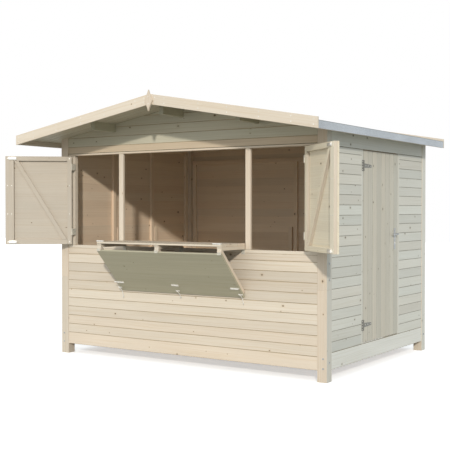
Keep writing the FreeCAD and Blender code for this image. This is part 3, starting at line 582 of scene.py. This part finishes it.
def lay_grain(piece, seed, groove_normal=None, along=None, outward=None):
    """Give each board its grain: a UV map in metres that runs along it, and a tone of its own.

    With a groove normal, the chamfers on the long edges that look outward take the joint's finish.
    """
    shape = bmesh.new()
    shape.from_mesh(piece.data)
    shape.faces.ensure_lookup_table()
    sheet = shape.loops.layers.uv.new("grain")
    tone = shape.verts.layers.float.new("tone")
    dice = random.Random(seed)
    for part in islands(shape):
        edges = dict.fromkeys(edge for face in part for edge in face.edges)
        longest = max(edges, key=lambda edge: round(edge.calc_length(), 5))
        way = along or (longest.verts[1].co - longest.verts[0].co).normalized()
        if max(way, key=abs) < 0:
            way = -way
        shift = Vector((dice.uniform(0, 40), dice.uniform(0, 40)))
        level = dice.random()
        for face in part:
            side = way.cross(face.normal)
            first = way
            if side.length < 0.5:
                first = way.orthogonal().normalized()
                side = way.cross(first)
            side.normalize()
            for loop in face.loops:
                place = loop.vert.co
                loop[sheet].uv = Vector((place.dot(first), place.dot(side))) + shift
                loop.vert[tone] = level
            chamfer = groove_normal and 0.3 < abs(face.normal.dot(groove_normal)) < 0.95
            shown = not outward or face.normal.dot(outward) > 0
            if chamfer and shown and abs(face.normal.dot(way)) < 0.3:
                face.material_index = 1
    shape.to_mesh(piece.data)
    shape.free()
    return piece


def stock(piece, finish_name, body, slot, *nodes, joint="board_joint"):
    """Give a finished piece its finish, its body and the CAD pieces that it stands for."""
    kinds = [face.material_index for face in piece.data.polygons]
    piece.data.materials.clear()
    piece.data.materials.append(finish(finish_name))
    if any(kinds):
        piece.data.materials.append(finish(joint))
        piece.data.polygons.foreach_set("material_index", kinds)
    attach(piece, body)
    if nodes:
        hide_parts(*nodes)
    return piece


def refinish(piece, finish_name, chosen):
    """Give the chosen faces of a stocked piece another finish."""
    piece.data.materials.append(finish(finish_name))
    last = len(piece.data.materials) - 1
    for face in piece.data.polygons:
        if chosen(face):
            face.material_index = last


def boards(cad_node, name, normal, cuts, seed, finish_name="planed_spruce", body=BODY, indoors=None,
           joint="board_joint"):
    """Tongued and grooved boards in place of a plain slab.

    Faces that look indoors take a warmer, paler spruce: partly riper wood and partly painted light on the
    shaded interior.
    """
    sizes = bpy.context.scene.kiosk_sizes
    piece = saw(copy_of(cad_node, name), normal, cuts)
    outward = -indoors if indoors else None
    ease(piece, sizes.groove, outward=outward)
    lay_grain(piece, seed, normal, outward=outward)
    stock(piece, finish_name, body, "wall_boards", cad_node, joint=joint)
    if indoors:
        refinish(piece, "sheltered_lit_spruce", lambda face: face.normal.dot(indoors) > FACING)
    return piece


def timbers(cad_node, seed, finish_name="clear_spruce", body=BODY, eased=None, sides=None):
    """Planed timbers in place of plain bars: eased edges and grain along each.

    The faces that look out to the left or right may have another finish.
    """
    sizes = bpy.context.scene.kiosk_sizes
    piece = ease(copy_of(cad_node, cad_node + "_planed"), eased or sizes.eased, 2)
    lay_grain(piece, seed)
    stock(piece, finish_name, body, "planed_timber", cad_node)
    if sides:
        refinish(piece, sides, lambda face: abs(face.normal.x) > FACING and face.normal.x * face.center.x > 0)
    return piece


def smooth(piece, angle=35):
    """Smooth the curves and keep the edges."""
    only(piece)
    bpy.ops.object.shade_smooth_by_angle(angle=math.radians(angle))
    return piece


def pressed(cad_node, finish_name, body=BODY, broken=0.0008, angle=30):
    """Pressed steel in place of a plain solid, its edges just broken."""
    piece = ease(copy_of(cad_node, cad_node + "_plated"), broken, 2, angle)
    return stock(piece, finish_name, body, "zinc_steel", cad_node)


def plated(name, parts, body=BODY, finish_name="bright_zinc"):
    """Small ironmongery joined, smoothed and given its zinc."""
    return stock(smooth(join(name, parts)), finish_name, body, "zinc_steel")


def heads(name, places, normal, radius, finish_name, body=BODY, domed=False):
    """Screw or coach bolt heads: one is shaped, with its drive or its dome, and copied to each place.

    The steps of its shape are shares of its radius.
    """
    normal = Vector(normal).normalized()
    bpy.ops.object.select_all(action="DESELECT")
    bpy.ops.mesh.primitive_cylinder_add(vertices=16 if domed else 12, radius=radius, depth=radius * 0.3,
                                        location=(0, 0, radius * 0.13))
    first = set_down(name)
    bpy.ops.object.mode_set(mode="EDIT")
    bpy.ops.mesh.select_all(action="DESELECT")
    bpy.ops.object.mode_set(mode="OBJECT")
    for face in first.data.polygons:
        face.select = face.normal.z > FACING
    bpy.ops.object.mode_set(mode="EDIT")
    dome = ((0.28, 0), (0, 0.22), (0.18, 0.12), (0.22, 0.06))
    drive = ((0.22, 0.1), (0.34, 0), (0.06, -0.28))
    for inwards, up in dome if domed else drive:
        bpy.ops.mesh.inset(thickness=radius * inwards, depth=radius * up)
    bpy.ops.object.mode_set(mode="OBJECT")
    smooth(first, 40)
    turn = normal.to_track_quat("Z", "Y").to_matrix().to_4x4()
    copies = []
    for place in places:
        one = duplicate(first)
        one.data.transform(Matrix.Translation(Vector(place)) @ turn)
        copies.append(one)
    bpy.data.objects.remove(first)
    return stock(join(name, copies), finish_name, body, "zinc_steel")


def lines(start, pitch, count):
    """Board lines upwards from a start."""
    return [start + pitch * i for i in range(count)]


def roof_line(cad_node, depth):
    """Rise over run of a sloping piece of that depth, and the height of its upper face at the ridge."""
    low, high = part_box(cad_node)
    return (high.z - low.z - depth) / (high.x - low.x), high.z


def mirrored(sign, name, low, high):
    """A block of a left leaf, or with a sign of -1 the same block of a right one."""
    near, far = sorted((sign * low[0], sign * high[0]))
    return block(name, (near, low[1], low[2]), (far, high[1], high[2]))


def swing(piece, side):
    """Turn a piece made in a shutter's closed place to where the open shutter stands."""
    sizes = bpy.context.scene.kiosk_sizes
    sign = -1 if side == "left" else 1
    proud = 0.014
    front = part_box("front_lower_posts")[0].y
    place = Matrix.Translation((sign * sizes.shutter_hinge, front - proud, sizes.shutter_foot))
    piece.data.transform(place @ Matrix.Rotation(sign * sizes.shutter_turn, 4, "Z"))
    return piece


# Pieces of the kiosk

class KioskFrontWall(bpy.types.Operator):
    """Lying boards of the half wall and the gable over the hatch."""
    bl_idname = "kiosk.front_wall"
    bl_label = "Front wall"
    bl_options = {"REGISTER", "UNDO"}

    def execute(self, context):
        """The lowest board is a wide base board, and a pale lip ends the gable over the hatch."""
        sizes = context.scene.kiosk_sizes
        closer = 0.991
        boards("front_wall", "front_wall_boards", Z, lines(FIRST_JOINT, sizes.wall_pitch * closer, 10), 11,
               indoors=Y, joint="faint_joint")
        lip_depth = 0.020
        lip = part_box("front_gable")[0].z + lip_depth
        cuts = [lip] + lines(GABLE_JOINT, sizes.wall_pitch, 6)
        # The gable takes the shade spruce: painted shade under the roof.
        gable = boards("front_gable", "front_gable_boards", Z, cuts, 12, "shade_spruce", indoors=Y,
                       joint="faint_joint")
        near = 0.004
        # The front of the gable's lowest board, where the sun reaches under the roof, is painted light with a
        # warmer spruce.
        refinish(gable, "gable_lit_spruce", lambda face: face.normal.y < -FACING and face.center.z < GABLE_JOINT)
        refinish(gable, "clear_spruce", lambda face: face.normal.y < -FACING and face.center.z < lip)
        refinish(gable, "board_joint", lambda face: face.normal.y > -FACING and
                 abs(face.center.z - lip) < near)
        return {"FINISHED"}


class KioskBackWall(bpy.types.Operator):
    """Lying boards of the back wall, gable and all."""
    bl_idname = "kiosk.back_wall"
    bl_label = "Back wall"
    bl_options = {"REGISTER", "UNDO"}

    def execute(self, context):
        """The same cover width as the side walls."""
        sizes = context.scene.kiosk_sizes
        boards("back_wall", "back_wall_boards", Z, lines(FIRST_JOINT, sizes.wall_pitch, 26), 13, indoors=-Y)
        return {"FINISHED"}


class KioskSideWalls(bpy.types.Operator):
    """Lying boards of both side walls, the base board and the plain band over the door."""
    bl_idname = "kiosk.side_walls"
    bl_label = "Side walls"
    bl_options = {"REGISTER", "UNDO"}

    def execute(self, context):
        """The right wall's boards start on the base board."""
        sizes = context.scene.kiosk_sizes
        boards("left_wall", "left_wall_boards", Z, lines(FIRST_JOINT, sizes.wall_pitch, 26), 14, indoors=X)
        # The right wall, its band and the doorway uprights take the side spruce: painted cool shade of the
        # sky-lit side.
        boards("right_wall_panels", "right_wall_boards", Z, lines(PANEL_JOINT, sizes.wall_pitch, 20), 15,
               "side_shade_spruce", indoors=-X, joint="grey_joint")
        boards("right_wall_base", "right_base_board", Z, [], 16, "pale_spruce")
        boards("right_wall_header", "right_band_board", Z, [], 17, "side_shade_spruce")
        timbers("doorway_uprights", 18, "side_shade_spruce")
        return {"FINISHED"}


class KioskPosts(bpy.types.Operator):
    """Corner posts, studs, rails, the sill and the uprights of the hatch."""
    bl_idname = "kiosk.posts"
    bl_label = "Posts and studs"
    bl_options = {"REGISTER", "UNDO"}

    def execute(self, context):
        """Each timber has its own grain and tone; the hatch's uprights are rounder at the edges."""
        outdoors = ("front_lower_posts", "front_upper_posts", "back_lower_posts", "back_upper_posts",
                    "front_sill")
        # Faces of the posts and sill that look left or right take the side spruce: painted cool shade of the
        # sky-lit sides.
        for seed, name in enumerate(outdoors, start=30):
            timbers(name, seed, sides="side_shade_spruce")
        timbers("hatch_uprights", 41, eased=0.005)
        # Indoor timbers take the sheltered spruce: partly riper wood, partly painted light on the shaded
        # interior.
        indoors = ("front_wall_studs", "back_wall_studs", "left_wall_studs", "right_wall_studs",
                   "wall_bottom_rails", "wall_top_rails")
        for seed, name in enumerate(indoors, start=35):
            timbers(name, seed, "sheltered_lit_spruce")
        return {"FINISHED"}


class KioskBolts(bpy.types.Operator):
    """Coach bolts through the posts."""
    bl_idname = "kiosk.bolts"
    bl_label = "Post bolts"
    bl_options = {"REGISTER", "UNDO"}

    def execute(self, context):
        """Two on the front or back of each foot, and four on each side of the kiosk."""
        sizes = context.scene.kiosk_sizes
        low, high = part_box("front_lower_posts")
        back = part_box("back_lower_posts")[1].y
        middle = 0.045
        inset = 0.035
        feet = (0.116, 0.199)
        size = sizes.bolt_head
        fronts = [(x, low.y, z) for x in (low.x + inset, high.x - inset) for z in feet]
        heads("front_bolts", fronts, -Y, size * 0.8, "dull_zinc", domed=True)
        near, far = low.y + middle, back - middle
        rights = [(high.x, y, z) for y, z in ((near, 0.163), (far, 0.167), (near, 0.994), (near, 0.856))]
        heads("right_bolts", rights, X, size, "dull_zinc", domed=True)
        heads("left_bolts", [(-x, y, z) for x, y, z in rights], -X, size, "dull_zinc", domed=True)
        backs = [(x, back, z) for x in (low.x + middle, high.x - middle) for z in feet]
        heads("back_bolts", backs, Y, size, "dull_zinc", domed=True)
        return {"FINISHED"}


class KioskRoof(bpy.types.Operator):
    """Roof boards, beams, bargeboards with their screws, and the eave boards."""
    bl_idname = "kiosk.roof"
    bl_label = "Roof timbers"
    bl_options = {"REGISTER", "UNDO"}

    def execute(self, context):
        """The boards run down the slope and show under the overhangs."""
        sizes = context.scene.kiosk_sizes
        first_width = 0.06
        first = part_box("left_roof_boards")[0].y + first_width
        for seed, side in enumerate(("left", "right")):
            # The roof boards take the shade spruce: painted shade under the overhangs.
            boards(side + "_roof_boards", side + "_roof_planks", Y, lines(first, sizes.wall_pitch, 31),
                   50 + seed, "shade_spruce", joint="faint_joint")
            for end in ("front", "back"):
                timbers("%s_%s_bargeboard" % (end, side), 52 + seed)
        # The beams under the roof take the olive spruce: painted shade.
        timbers("roof_beams", 56, "olive_shade_spruce")
        timbers("eave_boards", 57)
        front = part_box("front_left_bargeboard")[0].y
        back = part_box("back_left_bargeboard")[1].y
        depth = 0.091
        slope, top = roof_line("front_left_bargeboard", depth)
        from_ridge = (0.062, 0.16, 0.52, 0.81, 1.12, 1.42, 1.62)
        from_edge = (0.024, 0.066)
        places = [(sign * x, top - slope * x - drop) for x in from_ridge for sign in (-1, 1)
                  for drop in from_edge]
        heads("front_barge_screws", [(x, front, z) for x, z in places], -Y, sizes.screw_head, "bright_zinc")
        heads("back_barge_screws", [(x, back, z) for x, z in places], Y, sizes.screw_head, "bright_zinc")
        return {"FINISHED"}


class KioskFinial(bpy.types.Operator):
    """Pointed board on the joint of the front bargeboards."""
    bl_idname = "kiosk.finial"
    bl_label = "Finial"
    bl_options = {"REGISTER", "UNDO"}

    def execute(self, context):
        """A kite with hollow sides, a little fuller near its points, held by two screws."""
        sizes = context.scene.kiosk_sizes
        waist, fuller, edge = 0.03, 1.4, 0.0015
        piece = copy_of("roof_finial", "roof_finial_board")
        for vertex in piece.data.vertices:
            vertex.co.x *= 1.0 if abs(vertex.co.x) > waist else fuller
        ease(piece, edge, 2)
        lay_grain(piece, 60, along=Z)
        stock(piece, "clear_spruce", BODY, "planed_timber", "roof_finial")
        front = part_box("roof_finial")[0].y
        screws = [(0, front, z) for z in (2.43, 2.365)]
        heads("finial_screws", screws, -Y, sizes.screw_head, "bright_zinc")
        return {"FINISHED"}


class KioskCovering(bpy.types.Operator):
    """Felt laid in three lapped strips a side, its ridge strip, clout nails and the eave trim."""
    bl_idname = "kiosk.covering"
    bl_label = "Roof covering"
    bl_options = {"REGISTER", "UNDO"}

    def execute(self, context):
        """Each higher strip lies over the one below it, so it stands one lap higher.

        Each lap is given by its edge and its row of nails, both measured from the ridge.
        """
        sizes = context.scene.kiosk_sizes
        laps = ((1.18, 1.15), (0.66, 0.63), (0.16, 0.13))
        felt = 0.004
        nail_head = 0.005
        margin = 0.05
        row = 22
        for side, sign in (("left", -1), ("right", 1)):
            cad_node = side + "_roof_felt"
            low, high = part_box(cad_node)
            slope, ridge = roof_line(cad_node, felt)
            strips = [copy_of(cad_node, side + "_felt_strip")]
            nails = []
            for step, (edge, nailed) in enumerate(laps, start=1):
                strip = duplicate(strips[0])
                cut(strip, X * sign * edge, X * sign, False)
                strip.data.transform(Matrix.Translation((0, 0, sizes.lap_step * step)))
                strips.append(strip)
                top = ridge - slope * nailed + sizes.lap_step * step
                for i in range(row):
                    y = low.y + margin + (high.y - low.y - 2 * margin) * i / (row - 1)
                    nails.append((sign * nailed, y, top))
            stock(join(side + "_roof_covering", strips), "mineral_felt", BODY, "roof_covering", cad_node)
            heads(side + "_felt_nails", nails, (sign * slope, 0, 1), nail_head, "dull_zinc")
        trim_edge = 0.0012
        trim = ease(copy_of("eave_trims", "eave_trim_strips"), trim_edge, 2)
        stock(trim, "eave_trim", BODY, "roof_covering", "eave_trims")
        return {"FINISHED"}


class KioskShutters(bpy.types.Operator):
    """Side shutters: grooved boards on a batten frame with a brace, standing open."""
    bl_idname = "kiosk.shutters"
    bl_label = "Shutters"
    bl_options = {"REGISTER", "UNDO"}

    def execute(self, context):
        """Made in the closed place of the left one; the right one mirrors it.

        The left one's duller spruce is painted shade and the right one's yellower spruce is painted light:
        two copies of one spruce.
        """
        sizes = context.scene.kiosk_sizes
        wide, high = sizes.shutter_width, sizes.shutter_height
        back = BOARD + BATTEN_DEEP
        slack = 0.002
        first_joint = 0.0735
        # Painted shade on the left shutter, painted light on the right one
        sides = (("left", 1, "shutter_shade_spruce"), ("right", -1, "shutter_lit_spruce"))
        for seed, (side, sign, wood) in enumerate(sides):
            cladding = mirrored(sign, side + "_shutter_boards", (0, 0, 0), (wide, BOARD, high))
            cladding = saw(cladding, Z, lines(first_joint, sizes.wall_pitch, 10))
            ease(cladding, sizes.groove, outward=-Y)
            lay_grain(cladding, 70 + seed, Z, outward=-Y)
            stock(swing(cladding, side), wood, BODY, "wall_boards", side + "_shutter")

            rail_start, rail_end = BATTEN_WIDE + HAIR, wide - LAP_BATTEN - HAIR
            brace_foot = BATTEN_WIDE + slack
            parts = [mirrored(sign, "stile", (0, BOARD, 0), (BATTEN_WIDE, back, high)),
                     mirrored(sign, "lap", (wide - LAP_BATTEN, BOARD, 0), (wide, back, high)),
                     mirrored(sign, "rail", (rail_start, BOARD, 0), (rail_end, back, BATTEN_WIDE)),
                     mirrored(sign, "rail", (rail_start, BOARD, high - BATTEN_WIDE), (rail_end, back, high)),
                     mirrored(sign, "brace", (brace_foot, BOARD, BATTEN_WIDE + HAIR),
                              (brace_foot + BATTEN_WIDE, back - 0.001, high - BATTEN_WIDE - HAIR))]
            brace = only(parts[-1])
            bpy.ops.object.mode_set(mode="EDIT")
            bpy.ops.mesh.select_all(action="DESELECT")
            bpy.ops.object.mode_set(mode="OBJECT")
            for vertex in brace.data.vertices:
                vertex.select = vertex.co.z > high / 2
            bpy.ops.object.mode_set(mode="EDIT")
            lean = wide - LAP_BATTEN - brace_foot - BATTEN_WIDE - slack
            bpy.ops.transform.translate(value=(sign * lean, 0, 0))
            bpy.ops.object.mode_set(mode="OBJECT")
            framing = join(side + "_shutter_battens", parts)
            ease(framing, sizes.eased, 2)
            lay_grain(framing, 75 + seed)
            stock(framing, wood, BODY, "planed_timber")
            if side == "right":
                # Right shutter: frame edges that look towards the free edge are painted shade, a little at
                # the free edge and more elsewhere; the lap batten's face is a painted highlight.
                free = 0.04 - wide
                refinish(framing, "shutter_shade_spruce", lambda face: face.normal.x < -0.5 and face.center.x > free)
                refinish(framing, "clear_spruce", lambda face: face.normal.x < -0.5 and face.center.x < free)
                lap = 0.08 - wide
                refinish(framing, "lap_highlight_spruce", lambda face: face.normal.y > FACING and face.center.x < lap)
            swing(framing, side)
            edge = 0.022
            fixings = [(sign * x, back, z) for x in (edge, wide - 0.06, wide - 0.02)
                       for z in (edge, 0.30, 0.58, high - edge)]
            swing(heads(side + "_shutter_screws", fixings, Y, sizes.screw_head, "bright_zinc"), side)
        return {"FINISHED"}


class KioskShutterIron(bpy.types.Operator):
    """Butt hinges and barrel bolts of the shutters."""
    bl_idname = "kiosk.shutter_iron"
    bl_label = "Shutter ironmongery"
    bl_options = {"REGISTER", "UNDO"}

    def execute(self, context):
        """Each hinge has a leaf and a knuckle on the shutter and a link to the jamb."""
        sizes = context.scene.kiosk_sizes
        smooth(pressed("shutter_hinges", "mealy_zinc"))
        smooth(pressed("shutter_bolts", "bright_zinc"))
        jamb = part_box("front_wall")[0].y
        face = BOARD + BATTEN_DEEP
        middles = (0.123, 0.765)
        reach = 0.032
        inset = 0.006
        knuckle = 0.0048
        for side, sign in (("left", 1), ("right", -1)):
            leaves = []
            for middle in middles:
                start, end = middle - reach, middle + reach
                axis = (-0.003 * sign, face + 0.0018)
                leaves.append(mirrored(sign, "leaf", (0.001, face, start), (0.007, face + 0.0014, end)))
                leaves.append(turned("knuckle", knuckle, axis + (start,), axis + (end,)))
            hinge = swing(join("leaves", leaves), side)
            low = Vector([min(v.co[i] for v in hinge.data.vertices) for i in range(3)])
            high = Vector([max(v.co[i] for v in hinge.data.vertices) for i in range(3)])
            inner = high.x - inset if side == "left" else low.x + inset
            links = []
            for middle in middles:
                z = sizes.shutter_foot + middle
                links.append(block("link", (inner - 0.001, low.y + inset, z - reach),
                                   (inner + 0.001, jamb, z + reach)))
            plated(side + "_hinge_leaves", [hinge] + links, finish_name="mealy_zinc")
        return {"FINISHED"}


class KioskCounter(bpy.types.Operator):
    """Folding counter: a boarded shelf on shaped battens, and the boarded panel that props it."""
    bl_idname = "kiosk.counter"
    bl_label = "Counter"
    bl_options = {"REGISTER", "UNDO"}

    def execute(self, context):
        """The shelf's boards run along its length, and the prop is sawn from its solid in two layers."""
        sizes = context.scene.kiosk_sizes
        pitch = sizes.counter_pitch
        boards("counter_top", "counter_boards", Y, lines(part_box("counter_top")[0].y + pitch, pitch, 3), 80)
        timbers("counter_battens", 81)
        wall_gap, sill_gap = 0.012, 0.002
        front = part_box("counter_prop")[0].y
        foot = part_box("front_lower_posts")[0].y - wall_gap
        run = Vector((0, foot - front, -PROP_FALL)).normalized()
        inward = Vector((0, -run.z, run.y))
        start = Vector((0, front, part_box("front_sill")[0].z - sill_gap))
        shave = 0.0001
        slab = copy_of("counter_prop", "prop_boards")
        battens = duplicate(slab)
        cut(slab, start + inward * (BOARD - shave), inward, False)
        slab = saw(slab, run, lines(start.dot(run) + sizes.wall_pitch, sizes.wall_pitch, 6))
        ease(slab, sizes.groove)
        lay_grain(slab, 82, run)
        # The prop's boards look down and take the olive spruce: painted shade.
        stock(slab, "olive_shade_spruce", BODY, "wall_boards", "counter_prop", joint="faint_joint")
        cut(battens, start + inward * (BOARD + shave), inward, True)
        battens.name = "prop_battens"
        ease(battens, sizes.eased, 2)
        lay_grain(battens, 83)
        stock(battens, "clear_spruce", BODY, "planed_timber")
        pressed("counter_hinges", "mealy_zinc")
        pressed("prop_catches", "bright_zinc")
        return {"FINISHED"}


class KioskHooks(bpy.types.Operator):
    """Cabin hooks that hold the prop to the wall, and the bolts at the shelf's corners."""
    bl_idname = "kiosk.hooks"
    bl_label = "Counter hooks"
    bl_options = {"REGISTER", "UNDO"}

    def execute(self, context):
        """Each hook hangs from a staple near the prop's lower edge and drops into an eye on the wall."""
        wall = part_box("front_wall")[0].y
        low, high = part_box("counter_prop")
        standoff = 0.022
        edge = wall - standoff
        run = Vector((0, low.y - edge, PROP_FALL)).normalized()
        out = Vector((0, -run.z, run.y))
        tilt = Matrix.Rotation(-math.atan2(run.y, run.z), 4, "X")
        hook_wire, bow_wire, eye_wire = 0.0033, 0.0026, 0.0028
        bow_radius, eye_radius = 0.008, 0.009
        half = Vector((0.022, 0.0015, 0.008))
        sides = 12
        parts = []
        for x, drop in ((low.x + 0.010, 0.062), (0.0, 0.034), (high.x - 0.012, 0.052)):
            foot = Vector((x, edge, low.z))
            staple = foot + run * 0.046 + out * 0.006
            bow = staple + out * 0.004
            knee = foot + out * 0.007 - run * 0.004
            eye = Vector((x, wall - 0.008, low.z - drop))
            plate = block("staple", (x - half.x, -half.y, -half.z), (x + half.x, half.y, half.z))
            plate.data.transform(Matrix.Translation((0, staple.y, staple.z)) @ tilt)
            parts += [plate, ring("staple_eye", bow, X, bow_radius, bow_wire),
                      turned("hook", hook_wire, bow, knee, sides),
                      turned("hook", hook_wire, knee, eye, sides),
                      ring("wall_eye", eye, X, eye_radius, eye_wire),
                      turned("shank", eye_wire, eye + Y * 0.005, eye + Y * 0.016, sides)]
        plated("prop_hooks", parts)

        shelf_low, shelf_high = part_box("counter_top")
        front, top = shelf_low.y, shelf_high.z
        rod, case_edge = 0.0042, 0.002
        middle = (front + 0.011, top + 0.0055)
        spans = ((shelf_low.x - 0.006, shelf_low.x + 0.072), (shelf_high.x - 0.090, shelf_high.x - 0.006))
        parts = []
        for x0, x1 in spans:
            case = block("case", (x0, front + 0.001, top), (x1, front + 0.021, top + 0.010))
            parts += [ease(case, case_edge, 2),
                      turned("rod", rod, (x0 - 0.006,) + middle, (x1 + 0.010,) + middle)]
        plated("shelf_bolts", parts)

        rod = 0.0045
        catch_low, catch_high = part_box("prop_catches")
        middle = (catch_low + catch_high) / 2
        middle = (middle.y - 0.001, middle.z)
        spans = ((catch_low.x - 0.036, catch_low.x + 0.02), (catch_high.x - 0.02, catch_high.x + 0.012))
        plated("prop_bolt_rods", [turned("rod", rod, (x0,) + middle, (x1,) + middle) for x0, x1 in spans])
        return {"FINISHED"}


class KioskDoor(bpy.types.Operator):
    """Side door: standing boards on ledges and braces, with its hinges and lever handle."""
    bl_idname = "kiosk.door"
    bl_label = "Side door"
    bl_options = {"REGISTER", "UNDO"}

    def execute(self, context):
        """Everything on the leaf swings with it; the fixed plates stay on the wall."""
        sizes = context.scene.kiosk_sizes
        low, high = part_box("door_leaf")
        # The door's boards carry the side's painted cool shade in their spruce.
        boards("door_leaf", "door_boards", Y, lines(low.y + sizes.door_pitch, sizes.door_pitch, 7), 90,
               "door_spruce", DOOR, joint="grey_joint")
        timbers("door_ledges", 91, body=DOOR)
        timbers("door_braces", 92, body=DOOR)
        broken = 0.0006
        smooth(pressed("door_hinge_straps", "aged_zinc", DOOR, broken, 40))
        smooth(pressed("door_handle", "dull_zinc", DOOR, broken, 40))
        smooth(pressed("fixed_hinge_plates", "aged_zinc", BODY, broken, 40))
        steel, pin = 0.003, 0.003
        face = high.x + steel
        hinge = low.y - pin
        places = [(face, hinge + y, z) for z in HINGE_HEIGHTS for y in (0.045, 0.095, 0.15)]
        heads("strap_screws", places, X, sizes.screw_head, "bright_zinc", DOOR)
        plates = [(face, hinge - 0.02, z + d) for z in HINGE_HEIGHTS for d in (-0.036, -0.012, 0.012, 0.036)]
        heads("plate_screws", plates, X, sizes.screw_head, "bright_zinc")
        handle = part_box("door_handle")[0]
        lock = Vector((face, handle.y + 0.105, handle.z + 0.062))
        barrel = 0.0085
        plated("lock_barrel", [turned("lock_barrel", barrel, lock, lock + X * steel)], DOOR)
        # The keyhole is a thin dark block: painted shade where the lock's slot would be.
        keyhole = block("keyhole", lock + Vector((0.0026, -0.0009, -0.005)),
                        lock + Vector((0.0034, 0.0009, 0.005)))
        stock(keyhole, "keyhole", DOOR, "zinc_steel")
        return {"FINISHED"}


def sun(name, place, strength, spread, tint, towards):
    """A far light that shines from a direction."""
    bpy.ops.object.light_add(type="SUN", location=place)
    lamp = bpy.context.object
    lamp.name = name
    lamp.data.energy = strength
    lamp.data.angle = math.radians(spread)
    lamp.data.color = tint
    lamp.rotation_euler = Vector(towards).to_track_quat("Z", "Y").to_euler()


class KioskStage(bpy.types.Operator):
    """Pale floor, soft studio light and the camera."""
    bl_idname = "kiosk.stage"
    bl_label = "Stage"
    bl_options = {"REGISTER", "UNDO"}

    def execute(self, context):
        """The key light comes low from the front right, and the camera has the photograph's view."""
        scene = context.scene
        bpy.ops.object.select_all(action="DESELECT")
        bpy.ops.mesh.primitive_plane_add(size=60, location=(0, 0, 0))
        floor = bpy.context.object
        floor.name = "studio_floor"
        floor.data.materials.append(studio_floor("studio_floor", scene.kiosk_colours.floor))
        sun("key_light", (3, -5, 4), 2.0, 2.5, (1.0, 0.955, 0.88), (0.51, -0.78, 0.36))
        sun("fill_light", (-4, -5, 2), 0.6, 70, (1.0, 0.95, 0.87), (-0.62, -0.74, 0.25))
        world = bpy.data.worlds.new("studio_sky")
        scene.world = world
        world.use_nodes = True
        tree = world.node_tree
        sky = tree.nodes["Background"]
        sky.inputs["Color"].default_value = (0.86, 0.945, 1.0, 1.0)
        sky.inputs["Strength"].default_value = 0.70
        white = node(tree, "Background", None, Color=(1, 1, 1, 1), Strength=1.0)
        seen = node(tree, "LightPath").outputs
        either = node(tree, "Math", "MAXIMUM", i0=seen["Is Camera Ray"], i1=seen["Is Glossy Ray"])
        mixed = node(tree, "MixShader", None, Fac=either, i1=sky, i2=white)
        tree.links.new(mixed.outputs[0], tree.nodes["World Output"].inputs["Surface"])
        bpy.ops.object.camera_add(location=(4.963, -7.616, 1.442),
                                  rotation=(math.radians(89.03), 0, math.radians(33.711)))
        camera = bpy.context.object
        camera.name = "photo_camera"
        camera.data.sensor_width = 36
        camera.data.lens = 72.58
        scene.camera = camera
        scene.view_settings.view_transform = "Standard"
        return {"FINISHED"}


STEPS = (KioskFrontWall, KioskBackWall, KioskSideWalls, KioskPosts, KioskBolts, KioskRoof, KioskFinial,
         KioskCovering, KioskShutters, KioskShutterIron, KioskCounter, KioskHooks, KioskDoor, KioskStage)


class KioskPanel(bpy.types.Panel):
    """Sidebar panel with the sizes, the colours and the steps."""
    bl_idname = "VIEW3D_PT_kiosk"
    bl_label = "Folding kiosk"
    bl_space_type = "VIEW_3D"
    bl_region_type = "UI"
    bl_category = "Kiosk"

    def draw(self, context):
        """List every size, colour and step."""
        for group in (context.scene.kiosk_sizes, context.scene.kiosk_colours):
            for name in group.bl_rna.properties.keys():
                if name not in ("rna_type", "name"):
                    self.layout.prop(group, name)
        for step in STEPS:
            self.layout.operator(step.bl_idname)


CLASSES = (KioskSizes, KioskColours) + STEPS + (KioskPanel,)


def register():
    """Register the classes and hang the settings on the scene."""
    for kind in CLASSES:
        bpy.utils.register_class(kind)
    bpy.types.Scene.kiosk_sizes = bpy.props.PointerProperty(type=KioskSizes)
    bpy.types.Scene.kiosk_colours = bpy.props.PointerProperty(type=KioskColours)


def unregister():
    """Take the settings and the classes away again."""
    del bpy.types.Scene.kiosk_colours
    del bpy.types.Scene.kiosk_sizes
    for kind in reversed(CLASSES):
        bpy.utils.unregister_class(kind)


def main():
    """Register the classes and build every piece in order."""
    register()
    for step in STEPS:
        group, name = step.bl_idname.split(".")
        getattr(getattr(bpy.ops, group), name)()


if __name__ == "__main__":
    main()
